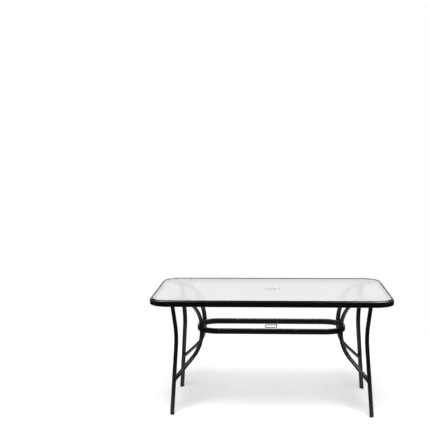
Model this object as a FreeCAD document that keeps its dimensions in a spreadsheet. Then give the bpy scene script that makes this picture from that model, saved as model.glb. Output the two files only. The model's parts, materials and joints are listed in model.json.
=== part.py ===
import FreeCAD, Part
import math
import os

import Sketcher

# Umbrella table: a framed pebbled-glass top on four double-tube legs that are tied by a stretcher loop.
# Millimetres, +Z up, +X along the table's length. The origin is on the floor under the umbrella hole.

SIZES = {
    # Overall
    "table_length": 1400,
    "table_width": 800,
    "table_height": 700,
    "corner_radius": 115,
    # Rim, a rolled tube with a rounded shoulder, a bead round the glass and a ledge under it
    "rim_height": 37,
    "rim_width": 20,
    "rim_bottom_round": 4,
    "shoulder_drop": 4,
    "shoulder_radius": 8,
    "bead_radius": 3,
    "bead_inset": 9,
    "ledge_reach": 12,
    "ledge_thickness": 2,
    # Glass and the pads that it lies on
    "glass_sink": 3,
    "glass_thickness": 5,
    "glass_edge_gap": 1,
    "glass_hole_radius": 26.5,
    "glass_pad_thickness": 1.5,
    "glass_pad_length": 24,
    "glass_pad_width": 7,
    "glass_pad_spacing_x": 420,
    "glass_pad_spacing_y": 180,
    # Flat-oval tube of the legs and bows
    "tube_width": 30,
    "tube_thickness": 15,
    "tube_wall": 1.2,
    # Leg line, in the vertical plane of its corner's diagonal
    "foot_inset": 121,
    "foot_base_height": 6,
    "foot_plug_length": 22,
    "foot_plug_gap": 0.3,
    "leg_mouth_depth": 40,
    "leg_lean": 5.2,
    "leg_bend_height": 398,
    "leg_bend_radius": 540,
    "leg_flare": 9.6,
    # Bow line, in the same plane
    "bow_flat_half": 10,
    "bow_lower_radius": 182,
    "bow_lower_turn": 52.6,
    "bow_drop_below_glass": 12.5,
    "bow_end_gap": 2,
    # Stretcher loop, a flat-oval tube on edge
    "loop_height": 467,
    "loop_half_width": 140.5,
    "loop_corner_radius": 124,
    "loop_tube_height": 35,
    "loop_tube_thickness": 15,
    "loop_to_bow_gap": 0.2,
    # Umbrella holder, one bent rod welded to the rear bar of the loop
    "holder_rod_radius": 2.5,
    "holder_half_width": 35,
    "holder_half_depth": 35,
    "holder_bend_radius": 12,
    # Clear ring in the glass hole, and its cap
    "ring_bore_radius": 22.4,
    "ring_sleeve_radius": 25.9,
    "ring_flange_radius": 32,
    "ring_flange_thickness": 3,
    "ring_flange_round": 1.5,
    "ring_recess_radius": 24.6,
    "ring_recess_depth": 1.6,
    "ring_below_glass": 7,
    "cap_radius": 23.4,
    "cap_plate_thickness": 1.4,
    "cap_dish_radius": 17.5,
    "cap_dish_depth": 0.6,
    "cap_lip_gap": 0.5,
    "cap_lip_wall": 1.4,
    "cap_lip_height": 1.4,
    "cap_rest_x": 37.4,
    "cap_rest_y": 46.6,
    "cap_rest_gap": 0.2,
    # Corner plates, screws, washers and nuts
    "plate_thickness": 3,
    "plate_depth": 62,
    "plate_half_width": 38,
    "plate_fit_gap": 0.2,
    "inner_screw_inset": 66,
    "outer_screw_inset": 40,
    "screw_radius": 3,
    "screw_hole_radius": 3.3,
    "screw_head_radius": 5.5,
    "screw_head_height": 3.3,
    "screw_end": 2,
    "washer_radius": 6,
    "washer_thickness": 1.6,
    "nut_across_flats": 10,
    "nut_height": 5,
    "nut_bore_radius": 3.1,
    "cap_nut_dome_radius": 4.6,
    "stretcher_nut_gap": 0.25,
}

# Sizes and places worked out from those above. A tube's place in its plane is given by its distance
# along the corner's diagonal, counted from the point where the diagonal crosses the middle line.
LAYOUT = {
    "half_length": "sizes.table_length / 2",
    "half_width": "sizes.table_width / 2",
    "diagonal_start": "(sizes.table_length - sizes.table_width) / 2",
    "rim_corner": "(half_width - sizes.corner_radius) * sqrt(2) + sizes.corner_radius",
    "rim_inner_corner": "rim_corner - sizes.rim_width",
    "rim_inner_radius": "sizes.corner_radius - sizes.rim_width",
    "rim_arc_centre": "rim_corner - sizes.corner_radius",
    "rim_bottom": "sizes.table_height - sizes.rim_height",
    "shoulder_top": "sizes.table_height - sizes.shoulder_drop",
    "shoulder_bottom": "shoulder_top - sizes.shoulder_radius",
    "bead_centre_height": "sizes.table_height - sizes.bead_radius",
    "bead_inner_inset": "sizes.bead_inset + 2 * sizes.bead_radius",
    "glass_top": "sizes.table_height - sizes.glass_sink",
    "glass_bottom": "glass_top - sizes.glass_thickness",
    "glass_inset": "bead_inner_inset + sizes.glass_edge_gap",
    "glass_half_length": "half_length - glass_inset",
    "glass_half_width": "half_width - glass_inset",
    "glass_corner_radius": "sizes.corner_radius - glass_inset",
    "ledge_top": "glass_bottom - sizes.glass_pad_thickness",
    "ledge_bottom": "ledge_top - sizes.ledge_thickness",
    "ledge_end_inset": "bead_inner_inset + sizes.ledge_reach",
    "pad_middle_inset": "(glass_inset + ledge_end_inset) / 2",
    "pad_row_y": "half_width - pad_middle_inset",
    "pad_row_x": "half_length - pad_middle_inset",
    "tube_half_thickness": "sizes.tube_thickness / 2",
    "tube_centre_offset": "(sizes.tube_width - sizes.tube_thickness) / 2",
    "tube_bore_half_thickness": "tube_half_thickness - sizes.tube_wall",
    "plug_half_thickness": "tube_bore_half_thickness - sizes.foot_plug_gap",
    "run_height": "glass_bottom - sizes.bow_drop_below_glass - tube_half_thickness",
    "run_top": "run_height + tube_half_thickness",
    "run_bottom": "run_height - tube_half_thickness",
    "run_end": "rim_inner_corner - sizes.bow_end_gap",
    "foot_place": "rim_corner - sizes.foot_inset",
    "leg_start": "foot_place - sizes.foot_base_height * tan(sizes.leg_lean)",
    "leg_bend_start": "foot_place - sizes.leg_bend_height * tan(sizes.leg_lean)",
    "leg_bend_centre": "leg_bend_start + sizes.leg_bend_radius * cos(sizes.leg_lean)",
    "leg_bend_centre_height": "sizes.leg_bend_height + sizes.leg_bend_radius * sin(sizes.leg_lean)",
    "leg_flare_start": "leg_bend_centre - sizes.leg_bend_radius * cos(sizes.leg_flare)",
    "leg_flare_height": "leg_bend_centre_height + sizes.leg_bend_radius * sin(sizes.leg_flare)",
    "leg_top": "leg_flare_start + (run_height - leg_flare_height) * tan(sizes.leg_flare)",
    "leg_trim_width": "4 * sizes.tube_width",
    "leg_trim_start": "leg_top - leg_trim_width / 2",
    "leg_mouth_top": "sizes.foot_base_height + sizes.leg_mouth_depth",
    "leg_mouth_end": "foot_place - leg_mouth_top * tan(sizes.leg_lean)",
    "loop_half_length": "sizes.loop_half_width + diagonal_start",
    "loop_half_thickness": "sizes.loop_tube_thickness / 2",
    "loop_centre_offset": "(sizes.loop_tube_height - sizes.loop_tube_thickness) / 2",
    "loop_upper_centre": "sizes.loop_height + loop_centre_offset",
    "loop_lower_centre": "sizes.loop_height - loop_centre_offset",
    "loop_arc_centre": "(sizes.loop_half_width - sizes.loop_corner_radius) * sqrt(2)",
    "loop_corner": "loop_arc_centre + sizes.loop_corner_radius",
    "loop_outside": "loop_corner + loop_half_thickness",
    "loop_inside": "loop_corner - loop_half_thickness",
    "bow_place": "loop_outside + sizes.loop_to_bow_gap + tube_half_thickness",
    "bow_outside": "bow_place + tube_half_thickness",
    "bow_flat_top": "sizes.loop_height + sizes.bow_flat_half",
    "bow_flat_bottom": "sizes.loop_height - sizes.bow_flat_half",
    "bow_upper_radius": "run_height - bow_flat_top",
    "bow_run_start": "bow_place + bow_upper_radius",
    "bow_tail_start": "bow_place + sizes.bow_lower_radius * (1 - cos(sizes.bow_lower_turn))",
    "bow_tail_height": "bow_flat_bottom - sizes.bow_lower_radius * sin(sizes.bow_lower_turn)",
    "bow_tail_reach": "foot_place - bow_tail_height * tan(sizes.leg_lean) - bow_tail_start",
    "bow_tail_rate": "sin(sizes.bow_lower_turn) - cos(sizes.bow_lower_turn) * tan(sizes.leg_lean)",
    "bow_tail_length": "bow_tail_reach / bow_tail_rate",
    "bow_tail_end": "bow_tail_start + bow_tail_length * sin(sizes.bow_lower_turn)",
    "bow_tail_end_height": "bow_tail_height - bow_tail_length * cos(sizes.bow_lower_turn)",
    "plate_outer_radius": "rim_inner_radius - sizes.plate_fit_gap",
    "plate_inner_edge": "rim_inner_corner - sizes.plate_depth",
    "plate_side_reach": "sqrt(plate_outer_radius * plate_outer_radius - sizes.plate_half_width ^ 2)",
    "plate_side_end": "rim_arc_centre + plate_side_reach",
    "plate_top": "run_top + sizes.plate_thickness",
    "inner_screw_place": "rim_corner - sizes.inner_screw_inset",
    "outer_screw_place": "rim_corner - sizes.outer_screw_inset",
    "corner_washer_bottom": "run_bottom - sizes.washer_thickness",
    "corner_head_bottom": "corner_washer_bottom - sizes.screw_head_height",
    "corner_screw_length": "plate_top + sizes.nut_height + sizes.screw_end - corner_washer_bottom",
    "stretcher_head_place": "bow_outside + sizes.washer_thickness",
    "inner_washer_place": "loop_inside - sizes.stretcher_nut_gap",
    "cap_nut_place": "inner_washer_place - sizes.washer_thickness",
    "bolt_head_bottom": "-sizes.screw_head_height",
    "stretcher_bolt_length": "stretcher_head_place - cap_nut_place + sizes.nut_height",
    "holder_start": "sizes.loop_half_width - loop_half_thickness",
    "holder_arm_end": "sizes.holder_half_depth - sizes.holder_bend_radius",
    "ring_sleeve_bottom": "glass_bottom - sizes.ring_below_glass",
    "ring_top": "glass_top + sizes.ring_flange_thickness",
    "ring_seat": "ring_top - sizes.ring_recess_depth",
    "cap_bottom": "glass_top + sizes.cap_rest_gap",
    "cap_lip_outer": "sizes.ring_bore_radius - sizes.cap_lip_gap",
    "cap_lip_inner": "cap_lip_outer - sizes.cap_lip_wall",
    "cap_plate_bottom": "cap_bottom + sizes.cap_lip_height",
    "cap_top": "cap_plate_bottom + sizes.cap_plate_thickness",
    "cap_dish_floor": "cap_top - sizes.cap_dish_depth",
}

# Corner name: side of the table along X, and the direction of its diagonal in degrees.
CORNERS = {
    "front_left": (-1, 225),
    "front_right": (1, 315),
    "rear_right": (1, 45),
    "rear_left": (-1, 135),
}

doc = FreeCAD.newDocument("umbrella_table")


def make_sheet(name, cells, as_formula):
    sheet = doc.addObject("Spreadsheet::Sheet", name)
    for row, (alias, content) in enumerate(cells.items(), start=1):
        sheet.set(f"A{row}", alias)
        sheet.set(f"B{row}", f"={content}" if as_formula else str(content))
        sheet.setAlias(f"B{row}", alias)
    doc.recompute()
    return sheet


sizes = make_sheet("sizes", SIZES, as_formula=False)
layout = make_sheet("layout", LAYOUT, as_formula=True)
sub_parts = {}


def value(formula):
    """The present number behind a cell, written sizes.NAME or layout.NAME."""
    sheet_name, alias = formula.split(".")
    return float(doc.getObject(sheet_name).get(alias))


def keep(sub_part, label):
    """Names a finished sub-part; the name is also its file's."""
    sub_part.Label = label
    sub_parts[label] = sub_part
    return sub_part


def new_body(name):
    return doc.addObject("PartDesign::Body", name)


def origin_plane(body, role):
    return next(plane for plane in body.Origin.OriginFeatures if plane.Role == role)


def new_sketch(body, name, role, offset=None):
    """A sketch on one of its body's origin planes, moved along the plane's normal by a cell's value."""
    sketch = body.newObject("Sketcher::SketchObject", name)
    sketch.AttachmentSupport = [(origin_plane(body, role), "")]
    sketch.MapMode = "FlatFace"
    if offset:
        sketch.setExpression("AttachmentOffset.Base.z", offset)
    return sketch


def bind(sketch, kind, references, formula):
    """A dimension of a sketch that takes its value from a cell."""
    number = abs(value(formula.lstrip("-")))
    index = sketch.addConstraint(Sketcher.Constraint(kind, *references, number))
    sketch.setExpression(f"Constraints[{index}]", formula)


def relate(sketch, *relations):
    for relation in relations:
        sketch.addConstraint(Sketcher.Constraint(*relation))


ORIGIN = (-1, 1)
H_AXIS = -1
V_AXIS = -2


def point(x, y):
    return FreeCAD.Vector(x, y, 0)


def line(sketch, start, end):
    return sketch.addGeometry(Part.LineSegment(point(*start), point(*end)))


def arc(sketch, centre, radius, first_degrees, last_degrees):
    whole = Part.Circle(point(*centre), FreeCAD.Vector(0, 0, 1), radius)
    first = math.radians(first_degrees)
    last = math.radians(last_degrees)
    return sketch.addGeometry(Part.ArcOfCircle(whole, first, last))


def circle(sketch, centre, radius, x_cell, y_cell, radius_cell):
    """A full circle whose centre and radius are cells. A centre cell of None keeps it on that axis."""
    ring = sketch.addGeometry(
        Part.Circle(point(*centre), FreeCAD.Vector(0, 0, 1), radius)
    )
    place_point(sketch, (ring, 3), x_cell, y_cell)
    bind(sketch, "Radius", (ring,), radius_cell)
    return ring


def place_point(sketch, vertex, x_cell, y_cell):
    """Fixes a point by its two distances from the sketch's origin, or on an axis where a cell is None."""
    if x_cell:
        bind(sketch, "DistanceX", (*ORIGIN, *vertex), x_cell)
    else:
        relate(sketch, ("PointOnObject", *vertex, V_AXIS))
    if y_cell:
        bind(sketch, "DistanceY", (*ORIGIN, *vertex), y_cell)
    else:
        relate(sketch, ("PointOnObject", *vertex, H_AXIS))


def rounded_rectangle(sketch, half_x_cell, half_y_cell, radius_cell):
    """A rectangle about the origin with round corners."""
    half_x = value(half_x_cell)
    half_y = value(half_y_cell)
    radius = value(radius_cell)
    flat_x = half_x - radius
    flat_y = half_y - radius
    right = line(sketch, (half_x, -flat_y), (half_x, flat_y))
    rear_right = arc(sketch, (flat_x, flat_y), radius, 0, 90)
    rear = line(sketch, (flat_x, half_y), (-flat_x, half_y))
    rear_left = arc(sketch, (-flat_x, flat_y), radius, 90, 180)
    left = line(sketch, (-half_x, flat_y), (-half_x, -flat_y))
    front_left = arc(sketch, (-flat_x, -flat_y), radius, 180, 270)
    front = line(sketch, (-flat_x, -half_y), (flat_x, -half_y))
    front_right = arc(sketch, (flat_x, -flat_y), radius, 270, 360)
    edges = [right, rear_right, rear, rear_left, left, front_left, front, front_right]
    for first, second in zip(edges, edges[1:] + edges[:1]):
        relate(sketch, ("Tangent", first, 2, second, 1))
    relate(sketch, ("Vertical", left), ("Horizontal", front))
    relate(sketch, ("Equal", rear_right, rear_left), ("Equal", rear_right, front_left))
    relate(sketch, ("Equal", rear_right, front_right))
    relate(sketch, ("Symmetric", right, 1, right, 2, H_AXIS))
    relate(sketch, ("Symmetric", rear, 1, rear, 2, V_AXIS))
    bind(sketch, "DistanceX", (*ORIGIN, right, 1), half_x_cell)
    bind(sketch, "DistanceY", (*ORIGIN, rear, 1), half_y_cell)
    bind(sketch, "Radius", (rear_right,), radius_cell)


def flat_oval(sketch, along, middle, middle_cell, offset_cell, radius_cell):
    """A flat-oval section: two half circles joined by flats.

    along is X or Y, the way the oval is long. The oval lies across one axis of the sketch, and its
    middle is moved along the other axis, or along its own where along is Y, by middle_cell.
    """
    offset = value(offset_cell)
    radius = value(radius_cell)
    if along == "X":
        low = arc(sketch, (-offset, middle), radius, 90, 270)
        high = arc(sketch, (offset, middle), radius, -90, 90)
        under = line(sketch, (-offset, middle - radius), (offset, middle - radius))
        over = line(sketch, (offset, middle + radius), (-offset, middle + radius))
        relate(sketch, ("Symmetric", low, 3, high, 3, V_AXIS))
        bind(sketch, "DistanceX", (*ORIGIN, high, 3), offset_cell)
        if middle_cell:
            bind(sketch, "DistanceY", (*ORIGIN, high, 3), middle_cell)
        else:
            relate(sketch, ("PointOnObject", high, 3, H_AXIS))
        relate(sketch, ("Horizontal", under))
    else:
        low = arc(sketch, (middle, -offset), radius, 180, 360)
        high = arc(sketch, (middle, offset), radius, 0, 180)
        under = line(sketch, (middle + radius, -offset), (middle + radius, offset))
        over = line(sketch, (middle - radius, offset), (middle - radius, -offset))
        relate(sketch, ("Symmetric", low, 3, high, 3, H_AXIS))
        bind(sketch, "DistanceY", (*ORIGIN, high, 3), offset_cell)
        bind(sketch, "DistanceX", (*ORIGIN, high, 3), middle_cell)
        relate(sketch, ("Vertical", under))
    relate(sketch, ("Tangent", low, 2, under, 1), ("Tangent", under, 2, high, 1))
    relate(sketch, ("Tangent", high, 2, over, 1), ("Tangent", over, 2, low, 1))
    bind(sketch, "Radius", (high,), radius_cell)


def pipe(body, name, profile, path, kind="PartDesign::AdditivePipe"):
    feature = body.newObject(kind, name)
    feature.Profile = profile
    feature.Spine = path
    body.Tip = feature
    profile.Visibility = False
    path.Visibility = False
    return feature


def pad(body, name, profile, length, direction=None):
    feature = body.newObject("PartDesign::Pad", name)
    feature.Profile = profile
    feature.setExpression("Length", length)
    if direction:
        feature.UseCustomVector = True
        feature.Direction = direction
        feature.AlongSketchNormal = True
    body.Tip = feature
    return feature


def cut_through(body, name, profile):
    """A hole or trim that runs both ways through the whole body."""
    doc.recompute()
    before = body.Shape.Volume
    feature = body.newObject("PartDesign::Pocket", name)
    feature.Profile = profile
    feature.Type = "ThroughAll"
    feature.Midplane = True
    body.Tip = feature
    doc.recompute()
    if body.Shape.Volume >= before:
        raise RuntimeError(f"{name} cuts nothing")
    return feature


def linked_copy(source, name, x_cell, side, turn):
    """A copy of a sub-part at a corner: moved along X by a cell's value and turned about Z by degrees."""
    copy = doc.addObject("App::Link", name)
    copy.LinkedObject = source
    copy.LinkTransform = False
    copy.Placement.Rotation = FreeCAD.Rotation(FreeCAD.Vector(0, 0, 1), turn)
    copy.setExpression("Placement.Base.x", f"{x_cell} * {side}")
    return copy


def make_rim():
    """The rolled rim: one section swept round the table, with its bead, shoulder and glass ledge."""
    body = new_body("rim_body")
    path = new_sketch(body, "rim_path", "XY_Plane")
    rounded_rectangle(path, "layout.half_length", "layout.half_width", "sizes.corner_radius")
    section = new_sketch(body, "rim_section", "YZ_Plane")
    outer = -value("layout.half_width")
    top = value("sizes.table_height")
    bottom = value("layout.rim_bottom")
    round_ = value("sizes.rim_bottom_round")
    shoulder = value("sizes.shoulder_radius")
    shoulder_top = value("layout.shoulder_top")
    shoulder_bottom = value("layout.shoulder_bottom")
    bead = value("sizes.bead_radius")
    bead_out = outer + value("sizes.bead_inset")
    bead_in = outer + value("layout.bead_inner_inset")
    bead_middle = top - bead
    ledge_top = value("layout.ledge_top")
    ledge_bottom = value("layout.ledge_bottom")
    ledge_end = outer + value("layout.ledge_end_inset")
    inner = outer + value("sizes.rim_width")
    base = line(section, (inner - round_, bottom), (outer + round_, bottom))
    outer_round = arc(section, (outer + round_, bottom + round_), round_, 180, 270)
    outer_wall = line(section, (outer, bottom + round_), (outer, shoulder_bottom))
    shoulder_arc = arc(section, (outer + shoulder, shoulder_bottom), shoulder, 90, 180)
    step = line(section, (outer + shoulder, shoulder_top), (bead_out, shoulder_top))
    bead_side = line(section, (bead_out, shoulder_top), (bead_out, bead_middle))
    bead_arc = arc(section, (bead_out + bead, bead_middle), bead, 0, 180)
    glass_wall = line(section, (bead_in, bead_middle), (bead_in, ledge_top))
    seat = line(section, (bead_in, ledge_top), (ledge_end, ledge_top))
    ledge_edge = line(section, (ledge_end, ledge_top), (ledge_end, ledge_bottom))
    ledge_under = line(section, (ledge_end, ledge_bottom), (inner, ledge_bottom))
    inner_wall = line(section, (inner, ledge_bottom), (inner, bottom + round_))
    inner_round = arc(section, (inner - round_, bottom + round_), round_, 270, 360)
    relate(
        section,
        ("Tangent", base, 2, outer_round, 2),
        ("Tangent", outer_round, 1, outer_wall, 1),
        ("Tangent", outer_wall, 2, shoulder_arc, 2),
        ("Tangent", shoulder_arc, 1, step, 1),
        ("Coincident", step, 2, bead_side, 1),
        ("Tangent", bead_side, 2, bead_arc, 2),
        ("Tangent", bead_arc, 1, glass_wall, 1),
        ("Coincident", glass_wall, 2, seat, 1),
        ("Coincident", seat, 2, ledge_edge, 1),
        ("Coincident", ledge_edge, 2, ledge_under, 1),
        ("Coincident", ledge_under, 2, inner_wall, 1),
        ("Tangent", inner_wall, 2, inner_round, 2),
        ("Tangent", inner_round, 1, base, 1),
        ("Horizontal", base),
        ("Vertical", outer_wall),
        ("Horizontal", step),
        ("Vertical", bead_side),
        ("Vertical", glass_wall),
        ("Horizontal", seat),
        ("Vertical", ledge_edge),
        ("Horizontal", ledge_under),
        ("Vertical", inner_wall),
        ("Equal", outer_round, inner_round),
    )
    bind(section, "Radius", (outer_round,), "sizes.rim_bottom_round")
    bind(section, "Radius", (shoulder_arc,), "sizes.shoulder_radius")
    bind(section, "Radius", (bead_arc,), "sizes.bead_radius")
    bind(section, "DistanceX", (outer_wall, 1, *ORIGIN), "layout.half_width")
    bind(section, "DistanceX", (outer_wall, 1, bead_side, 1), "sizes.bead_inset")
    bind(section, "DistanceX", (outer_wall, 1, inner_wall, 1), "sizes.rim_width")
    bind(section, "DistanceX", (outer_wall, 1, ledge_edge, 1), "layout.ledge_end_inset")
    bind(section, "DistanceY", (*ORIGIN, base, 1), "layout.rim_bottom")
    bind(section, "DistanceY", (*ORIGIN, step, 1), "layout.shoulder_top")
    bind(section, "DistanceY", (*ORIGIN, bead_arc, 3), "layout.bead_centre_height")
    bind(section, "DistanceY", (*ORIGIN, seat, 1), "layout.ledge_top")
    bind(section, "DistanceY", (*ORIGIN, ledge_under, 1), "layout.ledge_bottom")
    pipe(body, "rim_sweep", section, path)
    keep(body, "top_rim")


def make_glass():
    """The tempered pane with its umbrella hole."""
    body = new_body("glass_body")
    outline = new_sketch(body, "glass_outline", "XY_Plane", "layout.glass_bottom")
    rounded_rectangle(
        outline, "layout.glass_half_length", "layout.glass_half_width", "layout.glass_corner_radius"
    )
    circle(outline, (0, 0), value("sizes.glass_hole_radius"), None, None, "sizes.glass_hole_radius")
    pad(body, "glass_pane", outline, "sizes.glass_thickness")
    keep(body, "glass_top")


def make_glass_pads():
    """Soft pads between the ledge and the glass: three on each long side and two on each short one."""
    pads = []
    rows = [
        ("long", "sizes.glass_pad_length", "sizes.glass_pad_width", (-1, 0, 1), 1),
        ("short", "sizes.glass_pad_width", "sizes.glass_pad_length", (-1, 1), 0),
    ]
    for row, x_size, y_size, places, is_long in rows:
        for side in (-1, 1):
            for number, place in enumerate(places):
                block = doc.addObject("Part::Box", f"pad_{row}_{side + 1}_{number}")
                block.setExpression("Length", x_size)
                block.setExpression("Width", y_size)
                block.setExpression("Height", "sizes.glass_pad_thickness")
                along_x = f"{place} * sizes.glass_pad_spacing_x" if is_long else f"{side} * layout.pad_row_x"
                along_y = f"{side} * layout.pad_row_y" if is_long else f"{place} * sizes.glass_pad_spacing_y"
                block.setExpression("Placement.Base.x", f"{along_x} - {x_size} / 2")
                block.setExpression("Placement.Base.y", f"{along_y} - {y_size} / 2")
                block.setExpression("Placement.Base.z", "layout.ledge_top")
                pads.append(block)
    group = doc.addObject("Part::Compound", "pad_group")
    group.Links = pads
    keep(group, "glass_pads")


def make_leg():
    """One leg in its corner's plane: it leans inwards, bends and flares out to the bow's top run."""
    body = new_body("leg_stock")
    path = new_sketch(body, "leg_path", "XZ_Plane")
    foot_height = value("sizes.foot_base_height")
    bend = (value("layout.leg_bend_start"), value("sizes.leg_bend_height"))
    centre = (value("layout.leg_bend_centre"), value("layout.leg_bend_centre_height"))
    flare = (value("layout.leg_flare_start"), value("layout.leg_flare_height"))
    top = (value("layout.leg_top"), value("layout.run_height"))
    lean = value("sizes.leg_lean")
    lower = line(path, (value("layout.leg_start"), foot_height), bend)
    turn = arc(path, centre, value("sizes.leg_bend_radius"), 180 - value("sizes.leg_flare"), 180 + lean)
    upper = line(path, flare, top)
    relate(path, ("Tangent", lower, 2, turn, 2), ("Tangent", turn, 1, upper, 1))
    place_point(path, (lower, 1), "layout.leg_start", "sizes.foot_base_height")
    place_point(path, (lower, 2), "layout.leg_bend_start", "sizes.leg_bend_height")
    bind(path, "Radius", (turn,), "sizes.leg_bend_radius")
    bind(path, "DistanceY", (*ORIGIN, turn, 1), "layout.leg_flare_height")
    bind(path, "DistanceY", (*ORIGIN, upper, 2), "layout.run_height")
    section = new_sketch(body, "leg_section", "XY_Plane", "sizes.foot_base_height")
    flat_oval(
        section, "Y", value("layout.leg_start"), "layout.leg_start",
        "layout.tube_centre_offset", "layout.tube_half_thickness",
    )
    pipe(body, "leg_tube", section, path)
    # The top is cut level, to seat under the bow's run.
    trim = new_sketch(body, "leg_trim", "XZ_Plane")
    width = value("layout.leg_trim_width")
    near = value("layout.leg_trim_start")
    bottom = value("layout.run_bottom")
    under = line(trim, (near, bottom), (near + width, bottom))
    right = line(trim, (near + width, bottom), (near + width, bottom + width))
    over = line(trim, (near + width, bottom + width), (near, bottom + width))
    left = line(trim, (near, bottom + width), (near, bottom))
    for first, second in ((under, right), (right, over), (over, left), (left, under)):
        relate(trim, ("Coincident", first, 2, second, 1))
    relate(trim, ("Horizontal", under), ("Vertical", right), ("Horizontal", over), ("Vertical", left))
    relate(trim, ("Equal", under, right))
    bind(trim, "DistanceY", (*ORIGIN, under, 1), "layout.run_bottom")
    bind(trim, "DistanceX", (*ORIGIN, under, 1), "layout.leg_trim_start")
    bind(trim, "Distance", (under,), "layout.leg_trim_width")
    cut_through(body, "leg_top_cut", trim)
    # The open mouth at the foot, with the tube's real wall.
    mouth = new_sketch(body, "leg_mouth", "XY_Plane", "sizes.foot_base_height")
    flat_oval(
        mouth, "Y", value("layout.leg_start"), "layout.leg_start",
        "layout.tube_centre_offset", "layout.tube_bore_half_thickness",
    )
    line_up = new_sketch(body, "leg_mouth_line", "XZ_Plane")
    depth_end = (value("layout.leg_mouth_end"), value("layout.leg_mouth_top"))
    rise = line(line_up, (value("layout.leg_start"), foot_height), depth_end)
    place_point(line_up, (rise, 1), "layout.leg_start", "sizes.foot_base_height")
    place_point(line_up, (rise, 2), "layout.leg_mouth_end", "layout.leg_mouth_top")
    doc.recompute()
    before = body.Shape.Volume
    pipe(body, "leg_mouth_bore", mouth, line_up, "PartDesign::SubtractivePipe")
    doc.recompute()
    if body.Shape.Volume >= before:
        raise RuntimeError("the leg's mouth cuts nothing")
    return body


def make_bow(leg):
    """One bow: out under the glass to the rim's corner, round past the stretcher, and down to the leg."""
    body = new_body("bow_body")
    path = new_sketch(body, "bow_path", "XZ_Plane")
    run_height = value("layout.run_height")
    place = value("layout.bow_place")
    flat_top = value("layout.bow_flat_top")
    flat_bottom = value("layout.bow_flat_bottom")
    run_start = value("layout.bow_run_start")
    lower_radius = value("sizes.bow_lower_radius")
    tail_start = (value("layout.bow_tail_start"), value("layout.bow_tail_height"))
    tail_end = (value("layout.bow_tail_end"), value("layout.bow_tail_end_height"))
    run = line(path, (value("layout.run_end"), run_height), (run_start, run_height))
    upper = arc(path, (run_start, flat_top), value("layout.bow_upper_radius"), 90, 180)
    flat = line(path, (place, flat_top), (place, flat_bottom))
    lower_end = 180 + value("sizes.bow_lower_turn")
    lower = arc(path, (place + lower_radius, flat_bottom), lower_radius, 180, lower_end)
    tail = line(path, tail_start, tail_end)
    relate(path, ("Tangent", run, 2, upper, 1), ("Tangent", upper, 2, flat, 1))
    relate(path, ("Tangent", flat, 2, lower, 1), ("Tangent", lower, 2, tail, 1))
    place_point(path, (run, 1), "layout.run_end", "layout.run_height")
    place_point(path, (flat, 1), "layout.bow_place", "layout.bow_flat_top")
    relate(path, ("Horizontal", run), ("Vertical", flat))
    bind(path, "DistanceY", (*ORIGIN, flat, 2), "layout.bow_flat_bottom")
    bind(path, "Radius", (lower,), "sizes.bow_lower_radius")
    bind(path, "DistanceY", (*ORIGIN, lower, 2), "layout.bow_tail_height")
    bind(path, "Distance", (tail,), "layout.bow_tail_length")
    section = new_sketch(body, "bow_section", "YZ_Plane", "layout.run_end")
    flat_oval(
        section, "X", run_height, "layout.run_height",
        "layout.tube_centre_offset", "layout.tube_half_thickness",
    )
    pipe(body, "bow_tube", section, path)
    screws = new_sketch(body, "bow_screw_holes", "XY_Plane")
    for screw_place in ("layout.inner_screw_place", "layout.outer_screw_place"):
        radius = value("sizes.screw_hole_radius")
        circle(screws, (value(screw_place), 0), radius, screw_place, None, "sizes.screw_hole_radius")
    cut_through(body, "bow_screw_bores", screws)
    bolt = new_sketch(body, "bow_bolt_hole", "YZ_Plane")
    bolt_centre = (0, value("sizes.loop_height"))
    radius = value("sizes.screw_hole_radius")
    circle(bolt, bolt_centre, radius, None, "sizes.loop_height", "sizes.screw_hole_radius")
    cut_through(body, "bow_bolt_bore", bolt)
    # The tail's end is shaped to the leg that it is welded to.
    coped = doc.addObject("Part::Cut", "bow_stock")
    coped.Base = body
    coped.Tool = leg
    return coped


def make_foot():
    """The plastic foot: a base as wide as the tube, and a plug up its mouth along the leg's lean."""
    body = new_body("foot_stock")
    lean = FreeCAD.Vector(-math.tan(math.radians(value("sizes.leg_lean"))), 0, 1)
    base = new_sketch(body, "foot_outline", "XY_Plane")
    flat_oval(
        base, "Y", value("layout.foot_place"), "layout.foot_place",
        "layout.tube_centre_offset", "layout.tube_half_thickness",
    )
    pad(body, "foot_base", base, "sizes.foot_base_height", lean)
    plug = new_sketch(body, "foot_plug_outline", "XY_Plane", "sizes.foot_base_height")
    flat_oval(
        plug, "Y", value("layout.leg_start"), "layout.leg_start",
        "layout.tube_centre_offset", "layout.plug_half_thickness",
    )
    pad(body, "foot_plug", plug, "sizes.foot_plug_length", lean)
    return body


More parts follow.
